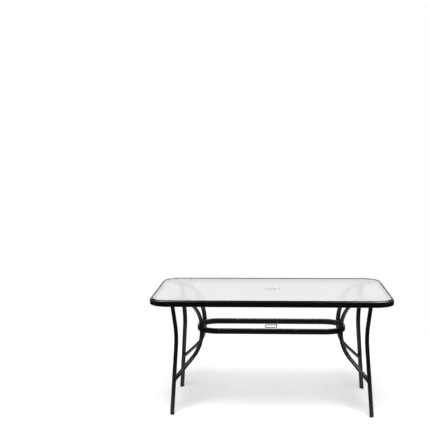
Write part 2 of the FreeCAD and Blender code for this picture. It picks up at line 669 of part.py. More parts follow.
def make_corner_plate():
    """The plate in the rim's corner that the bow's run is screwed up to."""
    body = new_body("plate_stock")
    outline = new_sketch(body, "plate_outline", "XY_Plane", "layout.run_top")
    inner = value("layout.plate_inner_edge")
    centre = value("layout.rim_arc_centre")
    side = value("sizes.plate_half_width")
    reach = value("layout.plate_side_end")
    radius = value("layout.plate_outer_radius")
    opening = math.degrees(math.asin(side / radius))
    near = line(outline, (inner, side), (inner, -side))
    right = line(outline, (inner, -side), (reach, -side))
    far = arc(outline, (centre, 0), radius, -opening, opening)
    left = line(outline, (reach, side), (inner, side))
    relate(outline, ("Coincident", near, 2, right, 1), ("Coincident", right, 2, far, 1))
    relate(outline, ("Coincident", far, 2, left, 1), ("Coincident", left, 2, near, 1))
    relate(outline, ("Horizontal", right), ("Horizontal", left))
    relate(outline, ("Symmetric", near, 1, near, 2, H_AXIS), ("PointOnObject", far, 3, H_AXIS))
    bind(outline, "DistanceX", (*ORIGIN, near, 1), "layout.plate_inner_edge")
    bind(outline, "DistanceY", (*ORIGIN, near, 1), "sizes.plate_half_width")
    bind(outline, "DistanceX", (*ORIGIN, far, 3), "layout.rim_arc_centre")
    bind(outline, "Radius", (far,), "layout.plate_outer_radius")
    for screw_place in ("layout.inner_screw_place", "layout.outer_screw_place"):
        hole = value("sizes.screw_hole_radius")
        circle(outline, (value(screw_place), 0), hole, screw_place, None, "sizes.screw_hole_radius")
    pad(body, "plate_sheet", outline, "sizes.plate_thickness")
    return body


def make_loop():
    """The stretcher: a flat-oval tube on edge, bent to a closed loop and bored at its four corners."""
    body = new_body("loop_body")
    path = new_sketch(body, "loop_path", "XY_Plane", "sizes.loop_height")
    rounded_rectangle(
        path, "layout.loop_half_length", "sizes.loop_half_width", "sizes.loop_corner_radius"
    )
    section = new_sketch(body, "loop_section", "YZ_Plane")
    offset = value("layout.loop_centre_offset")
    radius = value("layout.loop_half_thickness")
    middle = value("sizes.loop_height")
    front = -value("sizes.loop_half_width")
    low = arc(section, (front, middle - offset), radius, 180, 360)
    high = arc(section, (front, middle + offset), radius, 0, 180)
    right = line(section, (front + radius, middle - offset), (front + radius, middle + offset))
    left = line(section, (front - radius, middle + offset), (front - radius, middle - offset))
    relate(section, ("Tangent", low, 2, right, 1), ("Tangent", right, 2, high, 1))
    relate(section, ("Tangent", high, 2, left, 1), ("Tangent", left, 2, low, 1))
    relate(section, ("Vertical", right), ("Vertical", left))
    bind(section, "Radius", (high,), "layout.loop_half_thickness")
    bind(section, "DistanceX", (high, 3, *ORIGIN), "sizes.loop_half_width")
    bind(section, "DistanceY", (*ORIGIN, high, 3), "layout.loop_upper_centre")
    bind(section, "DistanceY", (*ORIGIN, low, 3), "layout.loop_lower_centre")
    pipe(body, "loop_tube", section, path)
    doc.recompute()
    for corner, (side, direction) in CORNERS.items():
        bore = body.newObject("PartDesign::SubtractiveCylinder", f"loop_bore_{corner}")
        bore.AttachmentSupport = [(origin_plane(body, "XY_Plane"), "")]
        bore.MapMode = "FlatFace"
        along = FreeCAD.Rotation(FreeCAD.Vector(0, 0, 1), direction)
        tip = FreeCAD.Rotation(FreeCAD.Vector(0, 1, 0), 90)
        bore.AttachmentOffset = FreeCAD.Placement(FreeCAD.Vector(), along.multiply(tip))
        bore.setExpression("AttachmentOffset.Base.x", f"layout.diagonal_start * {side}")
        bore.setExpression("AttachmentOffset.Base.z", "sizes.loop_height")
        bore.setExpression("Radius", "sizes.screw_hole_radius")
        bore.setExpression("Height", "layout.bow_place")
        body.Tip = bore
    keep(body, "stretcher_loop")


def holder_section(body, name, place_cell):
    """The rod's round section across the holder's arm."""
    section = new_sketch(body, name, "XZ_Plane", place_cell)
    centre = (value("sizes.holder_half_width"), value("sizes.loop_height"))
    rod = value("sizes.holder_rod_radius")
    circle(section, centre, rod, "sizes.holder_half_width", "sizes.loop_height", "sizes.holder_rod_radius")
    return section


def make_holder():
    """The umbrella holder: an arm from the rear bar, bent round the pole's place and welded to itself."""
    body = new_body("holder_body")
    half_width = value("sizes.holder_half_width")
    half_depth = value("sizes.holder_half_depth")
    bend = value("sizes.holder_bend_radius")
    start = value("layout.holder_start")
    arm_path = new_sketch(body, "holder_arm_path", "XY_Plane", "sizes.loop_height")
    arm = line(arm_path, (half_width, start), (half_width, bend - half_depth))
    relate(arm_path, ("Vertical", arm))
    place_point(arm_path, (arm, 1), "sizes.holder_half_width", "layout.holder_start")
    bind(arm_path, "DistanceY", (arm, 2, *ORIGIN), "layout.holder_arm_end")
    arm_section = holder_section(body, "holder_arm_section", "-layout.holder_start")
    pipe(body, "holder_arm", arm_section, arm_path)

    path = new_sketch(body, "holder_path", "XY_Plane", "sizes.loop_height")
    front_right = arc(path, (half_width - bend, bend - half_depth), bend, 270, 360)
    front = line(path, (half_width - bend, -half_depth), (bend - half_width, -half_depth))
    front_left = arc(path, (bend - half_width, bend - half_depth), bend, 180, 270)
    left = line(path, (-half_width, bend - half_depth), (-half_width, half_depth - bend))
    rear_left = arc(path, (bend - half_width, half_depth - bend), bend, 90, 180)
    rear = line(path, (bend - half_width, half_depth), (half_width, half_depth))
    relate(
        path,
        ("Tangent", front_right, 1, front, 1),
        ("Tangent", front, 2, front_left, 2),
        ("Tangent", front_left, 1, left, 1),
        ("Tangent", left, 2, rear_left, 2),
        ("Tangent", rear_left, 1, rear, 1),
        ("Horizontal", front_right, 3, front_right, 2),
        ("Horizontal", front),
        ("Vertical", left),
        ("Horizontal", rear),
        ("Equal", front_right, front_left),
        ("Equal", front_right, rear_left),
    )
    place_point(path, (rear, 2), "sizes.holder_half_width", "sizes.holder_half_depth")
    bind(path, "DistanceX", (*ORIGIN, front_right, 2), "sizes.holder_half_width")
    bind(path, "DistanceX", (left, 1, *ORIGIN), "sizes.holder_half_width")
    bind(path, "DistanceY", (front, 1, *ORIGIN), "sizes.holder_half_depth")
    bind(path, "Radius", (front_right,), "sizes.holder_bend_radius")
    section = holder_section(body, "holder_section", "layout.holder_arm_end")
    doc.recompute()
    pipe(body, "holder_hook", section, path)
    keep(body, "umbrella_holder")


def revolve(body, name, profile):
    feature = body.newObject("PartDesign::Revolution", name)
    feature.Profile = profile
    feature.ReferenceAxis = (profile, ["V_Axis"])
    feature.Angle = 360
    body.Tip = feature
    return feature


def stepped_profile(sketch, corners):
    """A closed profile of level and upright lines.

    A corner is two cells: its radius, which is None on the axis, and its height.
    """
    points = [(value(x) if x else 0, value(z)) for x, z in corners]
    edges = [line(sketch, a, b) for a, b in zip(points, points[1:] + points[:1])]
    for number, edge in enumerate(edges):
        after = edges[(number + 1) % len(edges)]
        relate(sketch, ("Coincident", edge, 2, after, 1))
        (x1, z1), (x2, z2) = corners[number], corners[(number + 1) % len(corners)]
        if z1 == z2:
            relate(sketch, ("Horizontal", edge))
            bind(sketch, "DistanceY", (*ORIGIN, edge, 1), z1)
        elif x1 is None:
            relate(sketch, ("PointOnObject", edge, 1, V_AXIS), ("PointOnObject", edge, 2, V_AXIS))
        else:
            relate(sketch, ("Vertical", edge))
            bind(sketch, "DistanceX", (*ORIGIN, edge, 1), x1)


def make_ring():
    """The clear ring: a flange on the glass, a recess for the cap, and a sleeve through the hole."""
    body = new_body("ring_body")
    profile = new_sketch(body, "ring_profile", "XZ_Plane")
    corners = [
        ("sizes.ring_bore_radius", "layout.ring_sleeve_bottom"),
        ("sizes.ring_sleeve_radius", "layout.ring_sleeve_bottom"),
        ("sizes.ring_sleeve_radius", "layout.glass_top"),
        ("sizes.ring_flange_radius", "layout.glass_top"),
        ("sizes.ring_flange_radius", "layout.ring_top"),
        ("sizes.ring_recess_radius", "layout.ring_top"),
        ("sizes.ring_recess_radius", "layout.ring_seat"),
        ("sizes.ring_bore_radius", "layout.ring_seat"),
    ]
    stepped_profile(profile, corners)
    turned = revolve(body, "ring_turned", profile)
    doc.recompute()
    rim_radius = value("sizes.ring_flange_radius")
    top = value("layout.ring_top")
    names = [
        f"Edge{number}"
        for number, edge in enumerate(turned.Shape.Edges, start=1)
        if isinstance(edge.Curve, Part.Circle)
        and abs(edge.Curve.Radius - rim_radius) < 1e-6
        and abs(edge.Curve.Center.z - top) < 1e-6
    ]
    rounding = body.newObject("PartDesign::Fillet", "ring_flange_edge")
    rounding.Base = (turned, names)
    rounding.setExpression("Radius", "sizes.ring_flange_round")
    body.Tip = rounding
    keep(body, "umbrella_ring")


def make_cap():
    """The clear cap for the ring, taken off: it lies on the glass beside the ring, lip down."""
    body = new_body("cap_body")
    profile = new_sketch(body, "cap_profile", "XZ_Plane")
    corners = [
        ("sizes.cap_radius", "layout.cap_plate_bottom"),
        ("sizes.cap_radius", "layout.cap_top"),
        ("sizes.cap_dish_radius", "layout.cap_top"),
        ("sizes.cap_dish_radius", "layout.cap_dish_floor"),
        (None, "layout.cap_dish_floor"),
        (None, "layout.cap_plate_bottom"),
        ("layout.cap_lip_inner", "layout.cap_plate_bottom"),
        ("layout.cap_lip_inner", "layout.cap_bottom"),
        ("layout.cap_lip_outer", "layout.cap_bottom"),
        ("layout.cap_lip_outer", "layout.cap_plate_bottom"),
    ]
    stepped_profile(profile, corners)
    revolve(body, "cap_turned", profile)
    body.setExpression("Placement.Base.x", "sizes.cap_rest_x")
    body.setExpression("Placement.Base.y", "sizes.cap_rest_y")
    keep(body, "hole_cap")


def hexagon(name, across_flats_cell, height_cell, bottom_cell, bore_cell):
    """A hexagonal nut on the Z axis. A bottom cell of None leaves it on the ground plane."""
    block = doc.addObject("Part::Prism", f"{name}_block")
    block.Polygon = 6
    block.setExpression("Circumradius", f"{across_flats_cell} / 2 / cos(30)")
    block.setExpression("Height", height_cell)
    if bottom_cell:
        block.setExpression("Placement.Base.z", bottom_cell)
    bore = doc.addObject("Part::Cylinder", f"{name}_bore")
    bore.setExpression("Radius", bore_cell)
    bore.setExpression("Height", height_cell)
    if bottom_cell:
        bore.setExpression("Placement.Base.z", bottom_cell)
    nut = doc.addObject("Part::Cut", name)
    nut.Base = block
    nut.Tool = bore
    return nut


def tube_piece(name, radius_cell, bore_cell, height_cell, bottom_cell):
    """A washer on the Z axis. A bottom cell of None leaves it on the ground plane."""
    disc = doc.addObject("Part::Cylinder", f"{name}_disc")
    bore = doc.addObject("Part::Cylinder", f"{name}_bore")
    for cylinder, radius in ((disc, radius_cell), (bore, bore_cell)):
        cylinder.setExpression("Radius", radius)
        cylinder.setExpression("Height", height_cell)
        if bottom_cell:
            cylinder.setExpression("Placement.Base.z", bottom_cell)
    washer = doc.addObject("Part::Cut", name)
    washer.Base = disc
    washer.Tool = bore
    return washer


def screw_piece(name, head_bottom_cell, length_cell):
    """A round-headed screw that points up the Z axis: the head's seat is at head_bottom plus its height."""
    head = doc.addObject("Part::Cylinder", f"{name}_head")
    head.setExpression("Radius", "sizes.screw_head_radius")
    head.setExpression("Height", "sizes.screw_head_height")
    head.setExpression("Placement.Base.z", head_bottom_cell)
    shank = doc.addObject("Part::Cylinder", f"{name}_shank")
    shank.setExpression("Radius", "sizes.screw_radius")
    shank.setExpression("Height", f"{length_cell} + sizes.screw_head_height / 2")
    shank.setExpression("Placement.Base.z", f"{head_bottom_cell} + sizes.screw_head_height / 2")
    screw = doc.addObject("Part::Fuse", name)
    screw.Base = head
    screw.Tool = shank
    screw.Refine = True
    return screw


def group_of_copies(label, source, places):
    """One node of identical fasteners. A place is the side, the diagonal's direction and its distance."""
    copies = []
    for number, (side, direction, distance_cell, along_diagonal) in enumerate(places):
        copy = doc.addObject("App::Link", f"{label}_{number}")
        copy.LinkedObject = source
        copy.LinkTransform = False
        turn = FreeCAD.Rotation(FreeCAD.Vector(0, 0, 1), direction)
        if along_diagonal:
            turn = turn.multiply(FreeCAD.Rotation(FreeCAD.Vector(0, 1, 0), -90))
        copy.Placement.Rotation = turn
        along_x = f"{distance_cell} * cos({direction})"
        copy.setExpression("Placement.Base.x", f"layout.diagonal_start * {side} + {along_x}")
        copy.setExpression("Placement.Base.y", f"{distance_cell} * sin({direction})")
        if along_diagonal:
            copy.setExpression("Placement.Base.z", "sizes.loop_height")
        copies.append(copy)
    group = doc.addObject("Part::Compound", f"{label}_group")
    group.Links = copies
    keep(group, label)


def make_fasteners():
    """Two screws, washers and nuts in each corner, and a bolt with a cap nut through each bow."""
    corner_places = [
        (side, direction, screw_place, False)
        for side, direction in CORNERS.values()
        for screw_place in ("layout.inner_screw_place", "layout.outer_screw_place")
    ]
    head_bottom = "layout.corner_head_bottom"
    screw = screw_piece("corner_screw", head_bottom, "layout.corner_screw_length")
    group_of_copies("corner_screws", screw, corner_places)
    washer = tube_piece(
        "corner_washer", "sizes.washer_radius", "sizes.screw_hole_radius",
        "sizes.washer_thickness", "layout.corner_washer_bottom",
    )
    group_of_copies("corner_washers", washer, corner_places)
    nut = hexagon(
        "corner_nut", "sizes.nut_across_flats", "sizes.nut_height",
        "layout.plate_top", "sizes.nut_bore_radius",
    )
    group_of_copies("corner_nuts", nut, corner_places)

    diagonals = list(CORNERS.values())
    bolt = screw_piece("stretcher_bolt", "layout.bolt_head_bottom", "layout.stretcher_bolt_length")
    bolt_places = [(side, turn, "layout.stretcher_head_place", True) for side, turn in diagonals]
    group_of_copies("stretcher_bolts", bolt, bolt_places)
    flat_washer = tube_piece(
        "stretcher_washer", "sizes.washer_radius", "sizes.screw_hole_radius", "sizes.washer_thickness", None
    )
    washer_places = [
        (side, turn, distance, True)
        for side, turn in diagonals
        for distance in ("layout.stretcher_head_place", "layout.inner_washer_place")
    ]
    group_of_copies("stretcher_washers", flat_washer, washer_places)
    block = hexagon(
        "cap_nut", "sizes.nut_across_flats", "sizes.nut_height", None, "sizes.nut_bore_radius"
    )
    dome = doc.addObject("Part::Sphere", "cap_nut_dome")
    dome.setExpression("Radius", "sizes.cap_nut_dome_radius")
    dome.Angle1 = 0
    dome.Angle2 = 90
    dome.setExpression("Placement.Base.z", "sizes.nut_height")
    cap_nut = doc.addObject("Part::Fuse", "cap_nut_whole")
    cap_nut.Base = block
    cap_nut.Tool = dome
    nut_places = [(side, turn, "layout.cap_nut_place", True) for side, turn in diagonals]
    group_of_copies("stretcher_nuts", cap_nut, nut_places)


make_rim()
make_glass()
make_glass_pads()
leg_stock = make_leg()
corner_stocks = {
    "leg": leg_stock,
    "bow": make_bow(leg_stock),
    "foot_cap": make_foot(),
    "corner_plate": make_corner_plate(),
}
for corner, (side, direction) in CORNERS.items():
    for piece, stock in corner_stocks.items():
        label = f"{piece}_{corner}"
        keep(linked_copy(stock, f"{label}_copy", "layout.diagonal_start", side, direction), label)
make_loop()
make_holder()
make_ring()
make_cap()
make_fasteners()
doc.recompute()

for item in doc.Objects:
    if "Invalid" in item.State or "Error" in item.State:
        raise RuntimeError(f"{item.Name} did not build: {item.State}")
shapes = {label: Part.getShape(sub_part) for label, sub_part in sub_parts.items()}
for label, shape in shapes.items():
    if shape.isNull() or not shape.isValid() or not shape.Solids:
        raise RuntimeError(f"{label} has no valid solid")

os.makedirs("parts", exist_ok=True)
for label, shape in shapes.items():
    shape.exportStep(f"parts/{label}.step")
    print(label, len(shape.Solids), "solids,", round(shape.Volume / 1000, 1), "cm3")
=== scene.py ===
import json
import math
from collections import namedtuple

import bmesh
import bpy
import numpy as np
from mathutils import Matrix, Vector
from mathutils.bvhtree import BVHTree

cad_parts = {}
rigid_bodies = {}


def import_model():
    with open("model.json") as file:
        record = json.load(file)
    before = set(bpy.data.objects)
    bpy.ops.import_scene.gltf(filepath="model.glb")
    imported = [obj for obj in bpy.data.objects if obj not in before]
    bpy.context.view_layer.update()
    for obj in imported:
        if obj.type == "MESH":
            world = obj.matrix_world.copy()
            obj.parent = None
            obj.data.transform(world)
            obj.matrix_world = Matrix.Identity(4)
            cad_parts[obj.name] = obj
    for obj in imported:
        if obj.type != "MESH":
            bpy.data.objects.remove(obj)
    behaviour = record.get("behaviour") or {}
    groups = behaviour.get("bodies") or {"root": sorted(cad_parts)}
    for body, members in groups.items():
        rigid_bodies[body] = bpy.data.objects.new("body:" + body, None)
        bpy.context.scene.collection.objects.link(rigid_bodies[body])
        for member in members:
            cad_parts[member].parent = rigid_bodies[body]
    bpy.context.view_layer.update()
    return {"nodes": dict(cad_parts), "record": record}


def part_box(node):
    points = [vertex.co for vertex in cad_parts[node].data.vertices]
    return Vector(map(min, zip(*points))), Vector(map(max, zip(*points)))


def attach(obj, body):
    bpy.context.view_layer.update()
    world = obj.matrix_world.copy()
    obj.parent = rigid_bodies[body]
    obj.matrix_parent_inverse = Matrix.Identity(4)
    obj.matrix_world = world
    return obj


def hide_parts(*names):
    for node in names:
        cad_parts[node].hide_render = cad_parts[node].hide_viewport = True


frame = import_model()
nodes = frame["nodes"]

# Umbrella table. Metres; +X along the table's length, +Y to its rear, +Z up, origin on the floor.

CORNERS = {
    "front_left": (-1, -1),
    "front_right": (1, -1),
    "rear_right": (1, 1),
    "rear_left": (-1, 1),
}
UP = Vector((0, 0, 1))

# The frame's sizes that the welds are placed by
HALF_LENGTH = 0.700
HALF_WIDTH = 0.400
RIM_CORNER_RADIUS = 0.115
RIM_WIDTH = 0.020
PLATE_FIT_GAP = 0.0002
LOOP_HEIGHT = 0.467
LOOP_INNER_FACE = 0.133
HOLDER_HALF = 0.035
HOLDER_ROD_RADIUS = 0.0025

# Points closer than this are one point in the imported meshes.
SAME_POINT = 1e-6
# A coordinate nearer to zero than this is on the axis.
ON_AXIS = 1e-9

# Materials

# A noise's scale is in patches per metre.
Noise = namedtuple("Noise", "scale detail roughness", defaults=(2.0, 0.5))
# Most of a noise lies between these two values, so colours and roughness run between them.
NOISE_LOW = 0.3
NOISE_HIGH = 0.7
PAINT_SPECULAR = 0.36


def new_material(name):
    """A new material, its node tree and its Principled shader."""
    material = bpy.data.materials.new(name)
    material.use_nodes = True
    return material, material.node_tree, material.node_tree.nodes["Principled BSDF"]


def add_node(tree, kind, **settings):
    node = tree.nodes.new(kind)
    for key, setting in settings.items():
        setattr(node, key, setting)
    return node


def noise_value(tree, noise):
    """Noise in the object's own metres, so it stays put when a body moves."""
    place = add_node(tree, "ShaderNodeTexCoord")
    texture = add_node(tree, "ShaderNodeTexNoise")
    texture.inputs["Scale"].default_value = noise.scale
    texture.inputs["Detail"].default_value = noise.detail
    texture.inputs["Roughness"].default_value = noise.roughness
    tree.links.new(place.outputs["Object"], texture.inputs["Vector"])
    return texture.outputs["Fac"]


def spread(tree, source, start, end, low, high):
    """Maps the source from start..end to low..high."""
    ranged = add_node(tree, "ShaderNodeMapRange")
    for socket, number in (("From Min", start), ("From Max", end), ("To Min", low), ("To Max", high)):
        ranged.inputs[socket].default_value = number
    tree.links.new(source, ranged.inputs["Value"])
    return ranged.outputs["Result"]


def blend_colours(tree, source, dark, light):
    """The colour dark where a noise is low and the colour light where it is high."""
    ramp = add_node(tree, "ShaderNodeValToRGB")
    ends = ((NOISE_LOW, dark), (NOISE_HIGH, light))
    for element, (position, colour) in zip(ramp.color_ramp.elements, ends):
        element.position = position
        element.color = (*colour, 1)
    tree.links.new(source, ramp.inputs["Fac"])
    return ramp.outputs["Color"]


def mix_shaders(tree, share, first, second):
    """The first shader where the share is 0 and the second where it is 1."""
    mix = add_node(tree, "ShaderNodeMixShader")
    tree.links.new(share, mix.inputs[0])
    tree.links.new(first, mix.inputs[1])
    tree.links.new(second, mix.inputs[2])
    return mix.outputs["Shader"]


def combine(tree, operation, first, second, use_clamp=False):
    """A Math node on two sources."""
    node = add_node(tree, "ShaderNodeMath", operation=operation, use_clamp=use_clamp)
    tree.links.new(first, node.inputs[0])
    tree.links.new(second, node.inputs[1])
    return node.outputs["Value"]


def set_surface(tree, shader_output):
    tree.links.new(shader_output, tree.nodes["Material Output"].inputs["Surface"])


def uneven_material(name, shade, dark, light, shine, smooth, rough, relief, depth, strength, sockets=()):
    """A material whose colour, roughness and fine relief each follow a noise of their own.

    The noise shade leads from dark to light, the noise shine from smooth to rough, and the noise relief
    stands up by depth at this strength. sockets holds the names and plain values of other sockets.
    """
    material, tree, shader = new_material(name)
    colour = blend_colours(tree, noise_value(tree, shade), dark, light)
    tree.links.new(colour, shader.inputs["Base Color"])
    roughness = spread(tree, noise_value(tree, shine), NOISE_LOW, NOISE_HIGH, smooth, rough)
    tree.links.new(roughness, shader.inputs["Roughness"])
    bump = add_node(tree, "ShaderNodeBump")
    bump.inputs["Strength"].default_value = strength
    bump.inputs["Distance"].default_value = depth
    tree.links.new(noise_value(tree, relief), bump.inputs["Height"])
    tree.links.new(bump.outputs["Normal"], shader.inputs["Normal"])
    for socket, number in sockets:
        shader.inputs[socket].default_value = number
    return material


def powder_coat():
    """Black powder coat: a soft gloss over fine orange peel, a little uneven in shade and shine."""
    return uneven_material(
        "frame_paint",
        shade=Noise(38, 3),
        dark=(0.0011, 0.0011, 0.0012),
        light=(0.0025, 0.0025, 0.0027),
        shine=Noise(240),
        smooth=0.27,
        rough=0.35,
        relief=Noise(420, 1, 0.4),
        depth=0.00012,
        strength=0.3,
        sockets=[("Specular IOR Level", PAINT_SPECULAR)],
    )


def weld_paint():
    """The same coat over a weld bead, a little lighter and rougher."""
    return uneven_material(
        "weld_paint",
        shade=Noise(90, 3),
        dark=(0.0013, 0.0013, 0.0014),
        light=(0.0030, 0.0030, 0.0032),
        shine=Noise(300),
        smooth=0.32,
        rough=0.42,
        relief=Noise(900),
        depth=0.0001,
        strength=0.4,
        sockets=[("Specular IOR Level", PAINT_SPECULAR)],
    )


def let_lamps_through(material, tint):
    """Lets light from lamps and matt surfaces pass unbent, with a tint, so the shadow is plain."""
    tree = material.node_tree
    clear = add_node(tree, "ShaderNodeBsdfTransparent")
    clear.inputs["Color"].default_value = (*tint, 1)
    path = add_node(tree, "ShaderNodeLightPath")
    surface = tree.nodes["Principled BSDF"].outputs["BSDF"]
    for ray in ("Is Shadow Ray", "Is Diffuse Ray"):
        surface = mix_shaders(tree, path.outputs[ray], surface, clear.outputs["BSDF"])
    set_surface(tree, surface)


# The pane is clear up to the first slant, 0 face on and 1 edge on, and milky from the second.
CLEAR_TO_SLANT = 0.30
MILKY_FROM_SLANT = 0.80
MILKY_TRANSMISSION = 0.50


def pebbled_glass():
    """Tempered glass; its lumps are in the mesh, and it turns milky at a slant as real pebbling does."""
    material = uneven_material(
        "pebbled_glass",
        shade=Noise(55),
        dark=(0.795, 0.804, 0.802),
        light=(0.855, 0.863, 0.861),
        shine=Noise(160),
        smooth=0.06,
        rough=0.12,
        relief=Noise(230),
        depth=0.0003,
        strength=0.2,
        sockets=[("IOR", 1.52)],
    )
    tree = material.node_tree
    slant = add_node(tree, "ShaderNodeLayerWeight")
    slant.inputs["Blend"].default_value = 0.5
    clear = spread(tree, slant.outputs["Facing"], CLEAR_TO_SLANT, MILKY_FROM_SLANT, 1.0, MILKY_TRANSMISSION)
    tree.links.new(clear, tree.nodes["Principled BSDF"].inputs["Transmission Weight"])
    let_lamps_through(material, tint=(0.74, 0.75, 0.75))
    return material


def clear_plastic():
    """Moulded clear plastic, a little milky and faintly uneven."""
    material = uneven_material(
        "clear_plastic",
        shade=Noise(60),
        dark=(0.93, 0.94, 0.94),
        light=(0.96, 0.965, 0.965),
        shine=Noise(140),
        smooth=0.06,
        rough=0.14,
        relief=Noise(170),
        depth=0.00015,
        strength=0.3,
        sockets=[("Transmission Weight", 0.60), ("IOR", 1.49)],
    )
    let_lamps_through(material, tint=(0.93, 0.94, 0.94))
    return material


def clear_vinyl():
    """The soft pads under the pane."""
    material = uneven_material(
        "clear_vinyl",
        shade=Noise(90),
        dark=(0.80, 0.82, 0.82),
        light=(0.88, 0.89, 0.89),
        shine=Noise(400),
        smooth=0.25,
        rough=0.35,
        relief=Noise(700),
        depth=0.0001,
        strength=0.3,
        sockets=[("Transmission Weight", 0.7), ("IOR", 1.45)],
    )
    let_lamps_through(material, tint=(0.85, 0.86, 0.86))
    return material


def foot_plastic():
    """Matte black plastic with a fine moulded grain."""
    return uneven_material(
        "foot_plastic",
        shade=Noise(300, 3),
        dark=(0.007, 0.007, 0.007),
        light=(0.014, 0.014, 0.014),
        shine=Noise(500),
        smooth=0.52,
        rough=0.66,
        relief=Noise(1500),
        depth=0.0001,
        strength=0.5,
        sockets=[("Specular IOR Level", 0.35)],
    )


def black_zinc():
    """Black zinc on the screws, bolts, washers and nuts, uneven in shade and shine."""
    return uneven_material(
        "black_fasteners",
        shade=Noise(500, 3),
        dark=(0.006, 0.006, 0.0065),
        light=(0.014, 0.014, 0.015),
        shine=Noise(900),
        smooth=0.26,
        rough=0.42,
        relief=Noise(1800),
        depth=0.00005,
        strength=0.3,
        sockets=[("Metallic", 0.7)],
    )


MATERIALS = {
    "frame_paint": powder_coat(),
    "pebbled_glass": pebbled_glass(),
    "clear_vinyl": clear_vinyl(),
    "clear_plastic": clear_plastic(),
    "foot_plastic": foot_plastic(),
    "black_fasteners": black_zinc(),
}
WELD_PAINT = weld_paint()
PAINTED = {MATERIALS["frame_paint"], MATERIALS["foot_plastic"], MATERIALS["black_fasteners"], WELD_PAINT}


def dress_frame():
    """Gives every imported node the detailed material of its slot."""
    for part in frame["record"]["subparts"]:
        for material_slot in nodes[part["node"]].material_slots:
            material_slot.material = MATERIALS[part["material_slot"]]


def mesh_object(name, vertices, faces, material):
    """A new smooth-shaded object in the scene."""
    mesh = bpy.data.meshes.new(name)
    mesh.from_pydata([tuple(v) for v in vertices], [], [tuple(f) for f in faces])
    mesh.materials.append(material)
    mesh.validate()
    mesh.polygons.foreach_set("use_smooth", [True] * len(mesh.polygons))
    piece = bpy.data.objects.new(name, mesh)
    bpy.context.scene.collection.objects.link(piece)
    return piece


# Pane
PANE_CORNER_RADIUS = 0.099
PANE_CORNER_TURNS = 14
PANE_HOLE_RADIUS = 0.0265
PANE_HOLE_RINGS = 5
PANE_STEP = 0.0036
# The grid leaves out a square about the hole, this far from the middle to each side.
PANE_GAP = 0.040
PEBBLE_SPACING = 0.0125
PEBBLE_RADIUS = 0.0088
PEBBLE_DEPTH = 0.0005
PEBBLE_JITTER = 0.38
PEBBLE_SIZE_SPREAD = 0.6
PEBBLE_SOFTNESS = 7.0
PEBBLE_SEED = 7
PEBBLE_EDGE_FADE = 0.006
PEBBLE_FIELD_HALF = 0.75
PEBBLE_FIELD_MARGIN = 3
# A face whose normal has more Z than this lies level.
LEVEL_NORMAL = 0.5


def pebbles(x, y):
    """Height, 0 to 1, of the lumps at these places: round domes about unevenly spread middles."""
    column = np.floor(x / PEBBLE_SPACING).astype(int)
    row = np.floor(y / PEBBLE_SPACING).astype(int)
    reach = int(PEBBLE_FIELD_HALF / PEBBLE_SPACING) + PEBBLE_FIELD_MARGIN
    draws = np.random.default_rng(PEBBLE_SEED)
    offsets = draws.uniform(-PEBBLE_JITTER, PEBBLE_JITTER, (2 * reach, 2 * reach, 3))
    total = np.zeros_like(x)
    for step_x in (-1, 0, 1):
        for step_y in (-1, 0, 1):
            shift = offsets[column + step_x + reach, row + step_y + reach]
            middle_x = (column + step_x + 0.5 + shift[:, 0]) * PEBBLE_SPACING
            middle_y = (row + step_y + 0.5 + shift[:, 1]) * PEBBLE_SPACING
            radius = PEBBLE_RADIUS * (1 + PEBBLE_SIZE_SPREAD * shift[:, 2])
            closeness = 1 - ((x - middle_x) ** 2 + (y - middle_y) ** 2) / radius**2
            total += np.exp(PEBBLE_SOFTNESS * closeness)
    return np.clip(np.log(total) / PEBBLE_SOFTNESS, 0, 1)


def pane_grid(half_x, half_y):
    """A flat grid over the pane: its points, its faces, its outline and the edge of its square gap.

    Every column reaches to the pane's outline, so the columns shorten round the corners.
    """
    radius = PANE_CORNER_RADIUS
    flat = half_x - radius
    columns = 2 * round(flat / PANE_STEP)
    rows = 2 * round(half_y / PANE_STEP)
    turns = range(1, PANE_CORNER_TURNS + 1)
    bend = [flat + radius * math.sin(math.pi / 2 * k / PANE_CORNER_TURNS) for k in turns]
    xs = [-b for b in reversed(bend)]
    xs += [flat * (2 * k / columns - 1) for k in range(columns + 1)]
    xs += bend
    gap_x = round(PANE_GAP / (2 * flat / columns))
    gap_y = round(PANE_GAP / (2 * half_y / rows))
    middle_i = len(xs) // 2
    middle_j = rows // 2

    points = []
    index = {}
    for i, x in enumerate(xs):
        past = max(abs(x) - flat, 0)
        reach_y = half_y - radius + math.sqrt(max(radius**2 - past**2, 0))
        for j in range(rows + 1):
            if abs(i - middle_i) < gap_x and abs(j - middle_j) < gap_y:
                continue
            index[i, j] = len(points)
            points.append((x, reach_y * (2 * j / rows - 1)))
    faces = []
    for i in range(len(xs) - 1):
        for j in range(rows):
            in_gap = -gap_x <= i - middle_i < gap_x and -gap_y <= j - middle_j < gap_y
            if not in_gap:
                faces.append([index[i, j], index[i, j + 1], index[i + 1, j + 1], index[i + 1, j]])

    gap_edge = [index[middle_i + gap_x, middle_j + k] for k in range(-gap_y, gap_y)]
    gap_edge += [index[middle_i - k, middle_j + gap_y] for k in range(-gap_x, gap_x)]
    gap_edge += [index[middle_i - gap_x, middle_j - k] for k in range(-gap_y, gap_y)]
    gap_edge += [index[middle_i + k, middle_j - gap_y] for k in range(-gap_x, gap_x)]
    last = len(xs) - 1
    outline = [index[0, j] for j in range(rows, 0, -1)]
    outline += [index[i, 0] for i in range(last)]
    outline += [index[last, j] for j in range(rows)]
    outline += [index[i, rows] for i in range(last, 0, -1)]
    return points, faces, outline, gap_edge


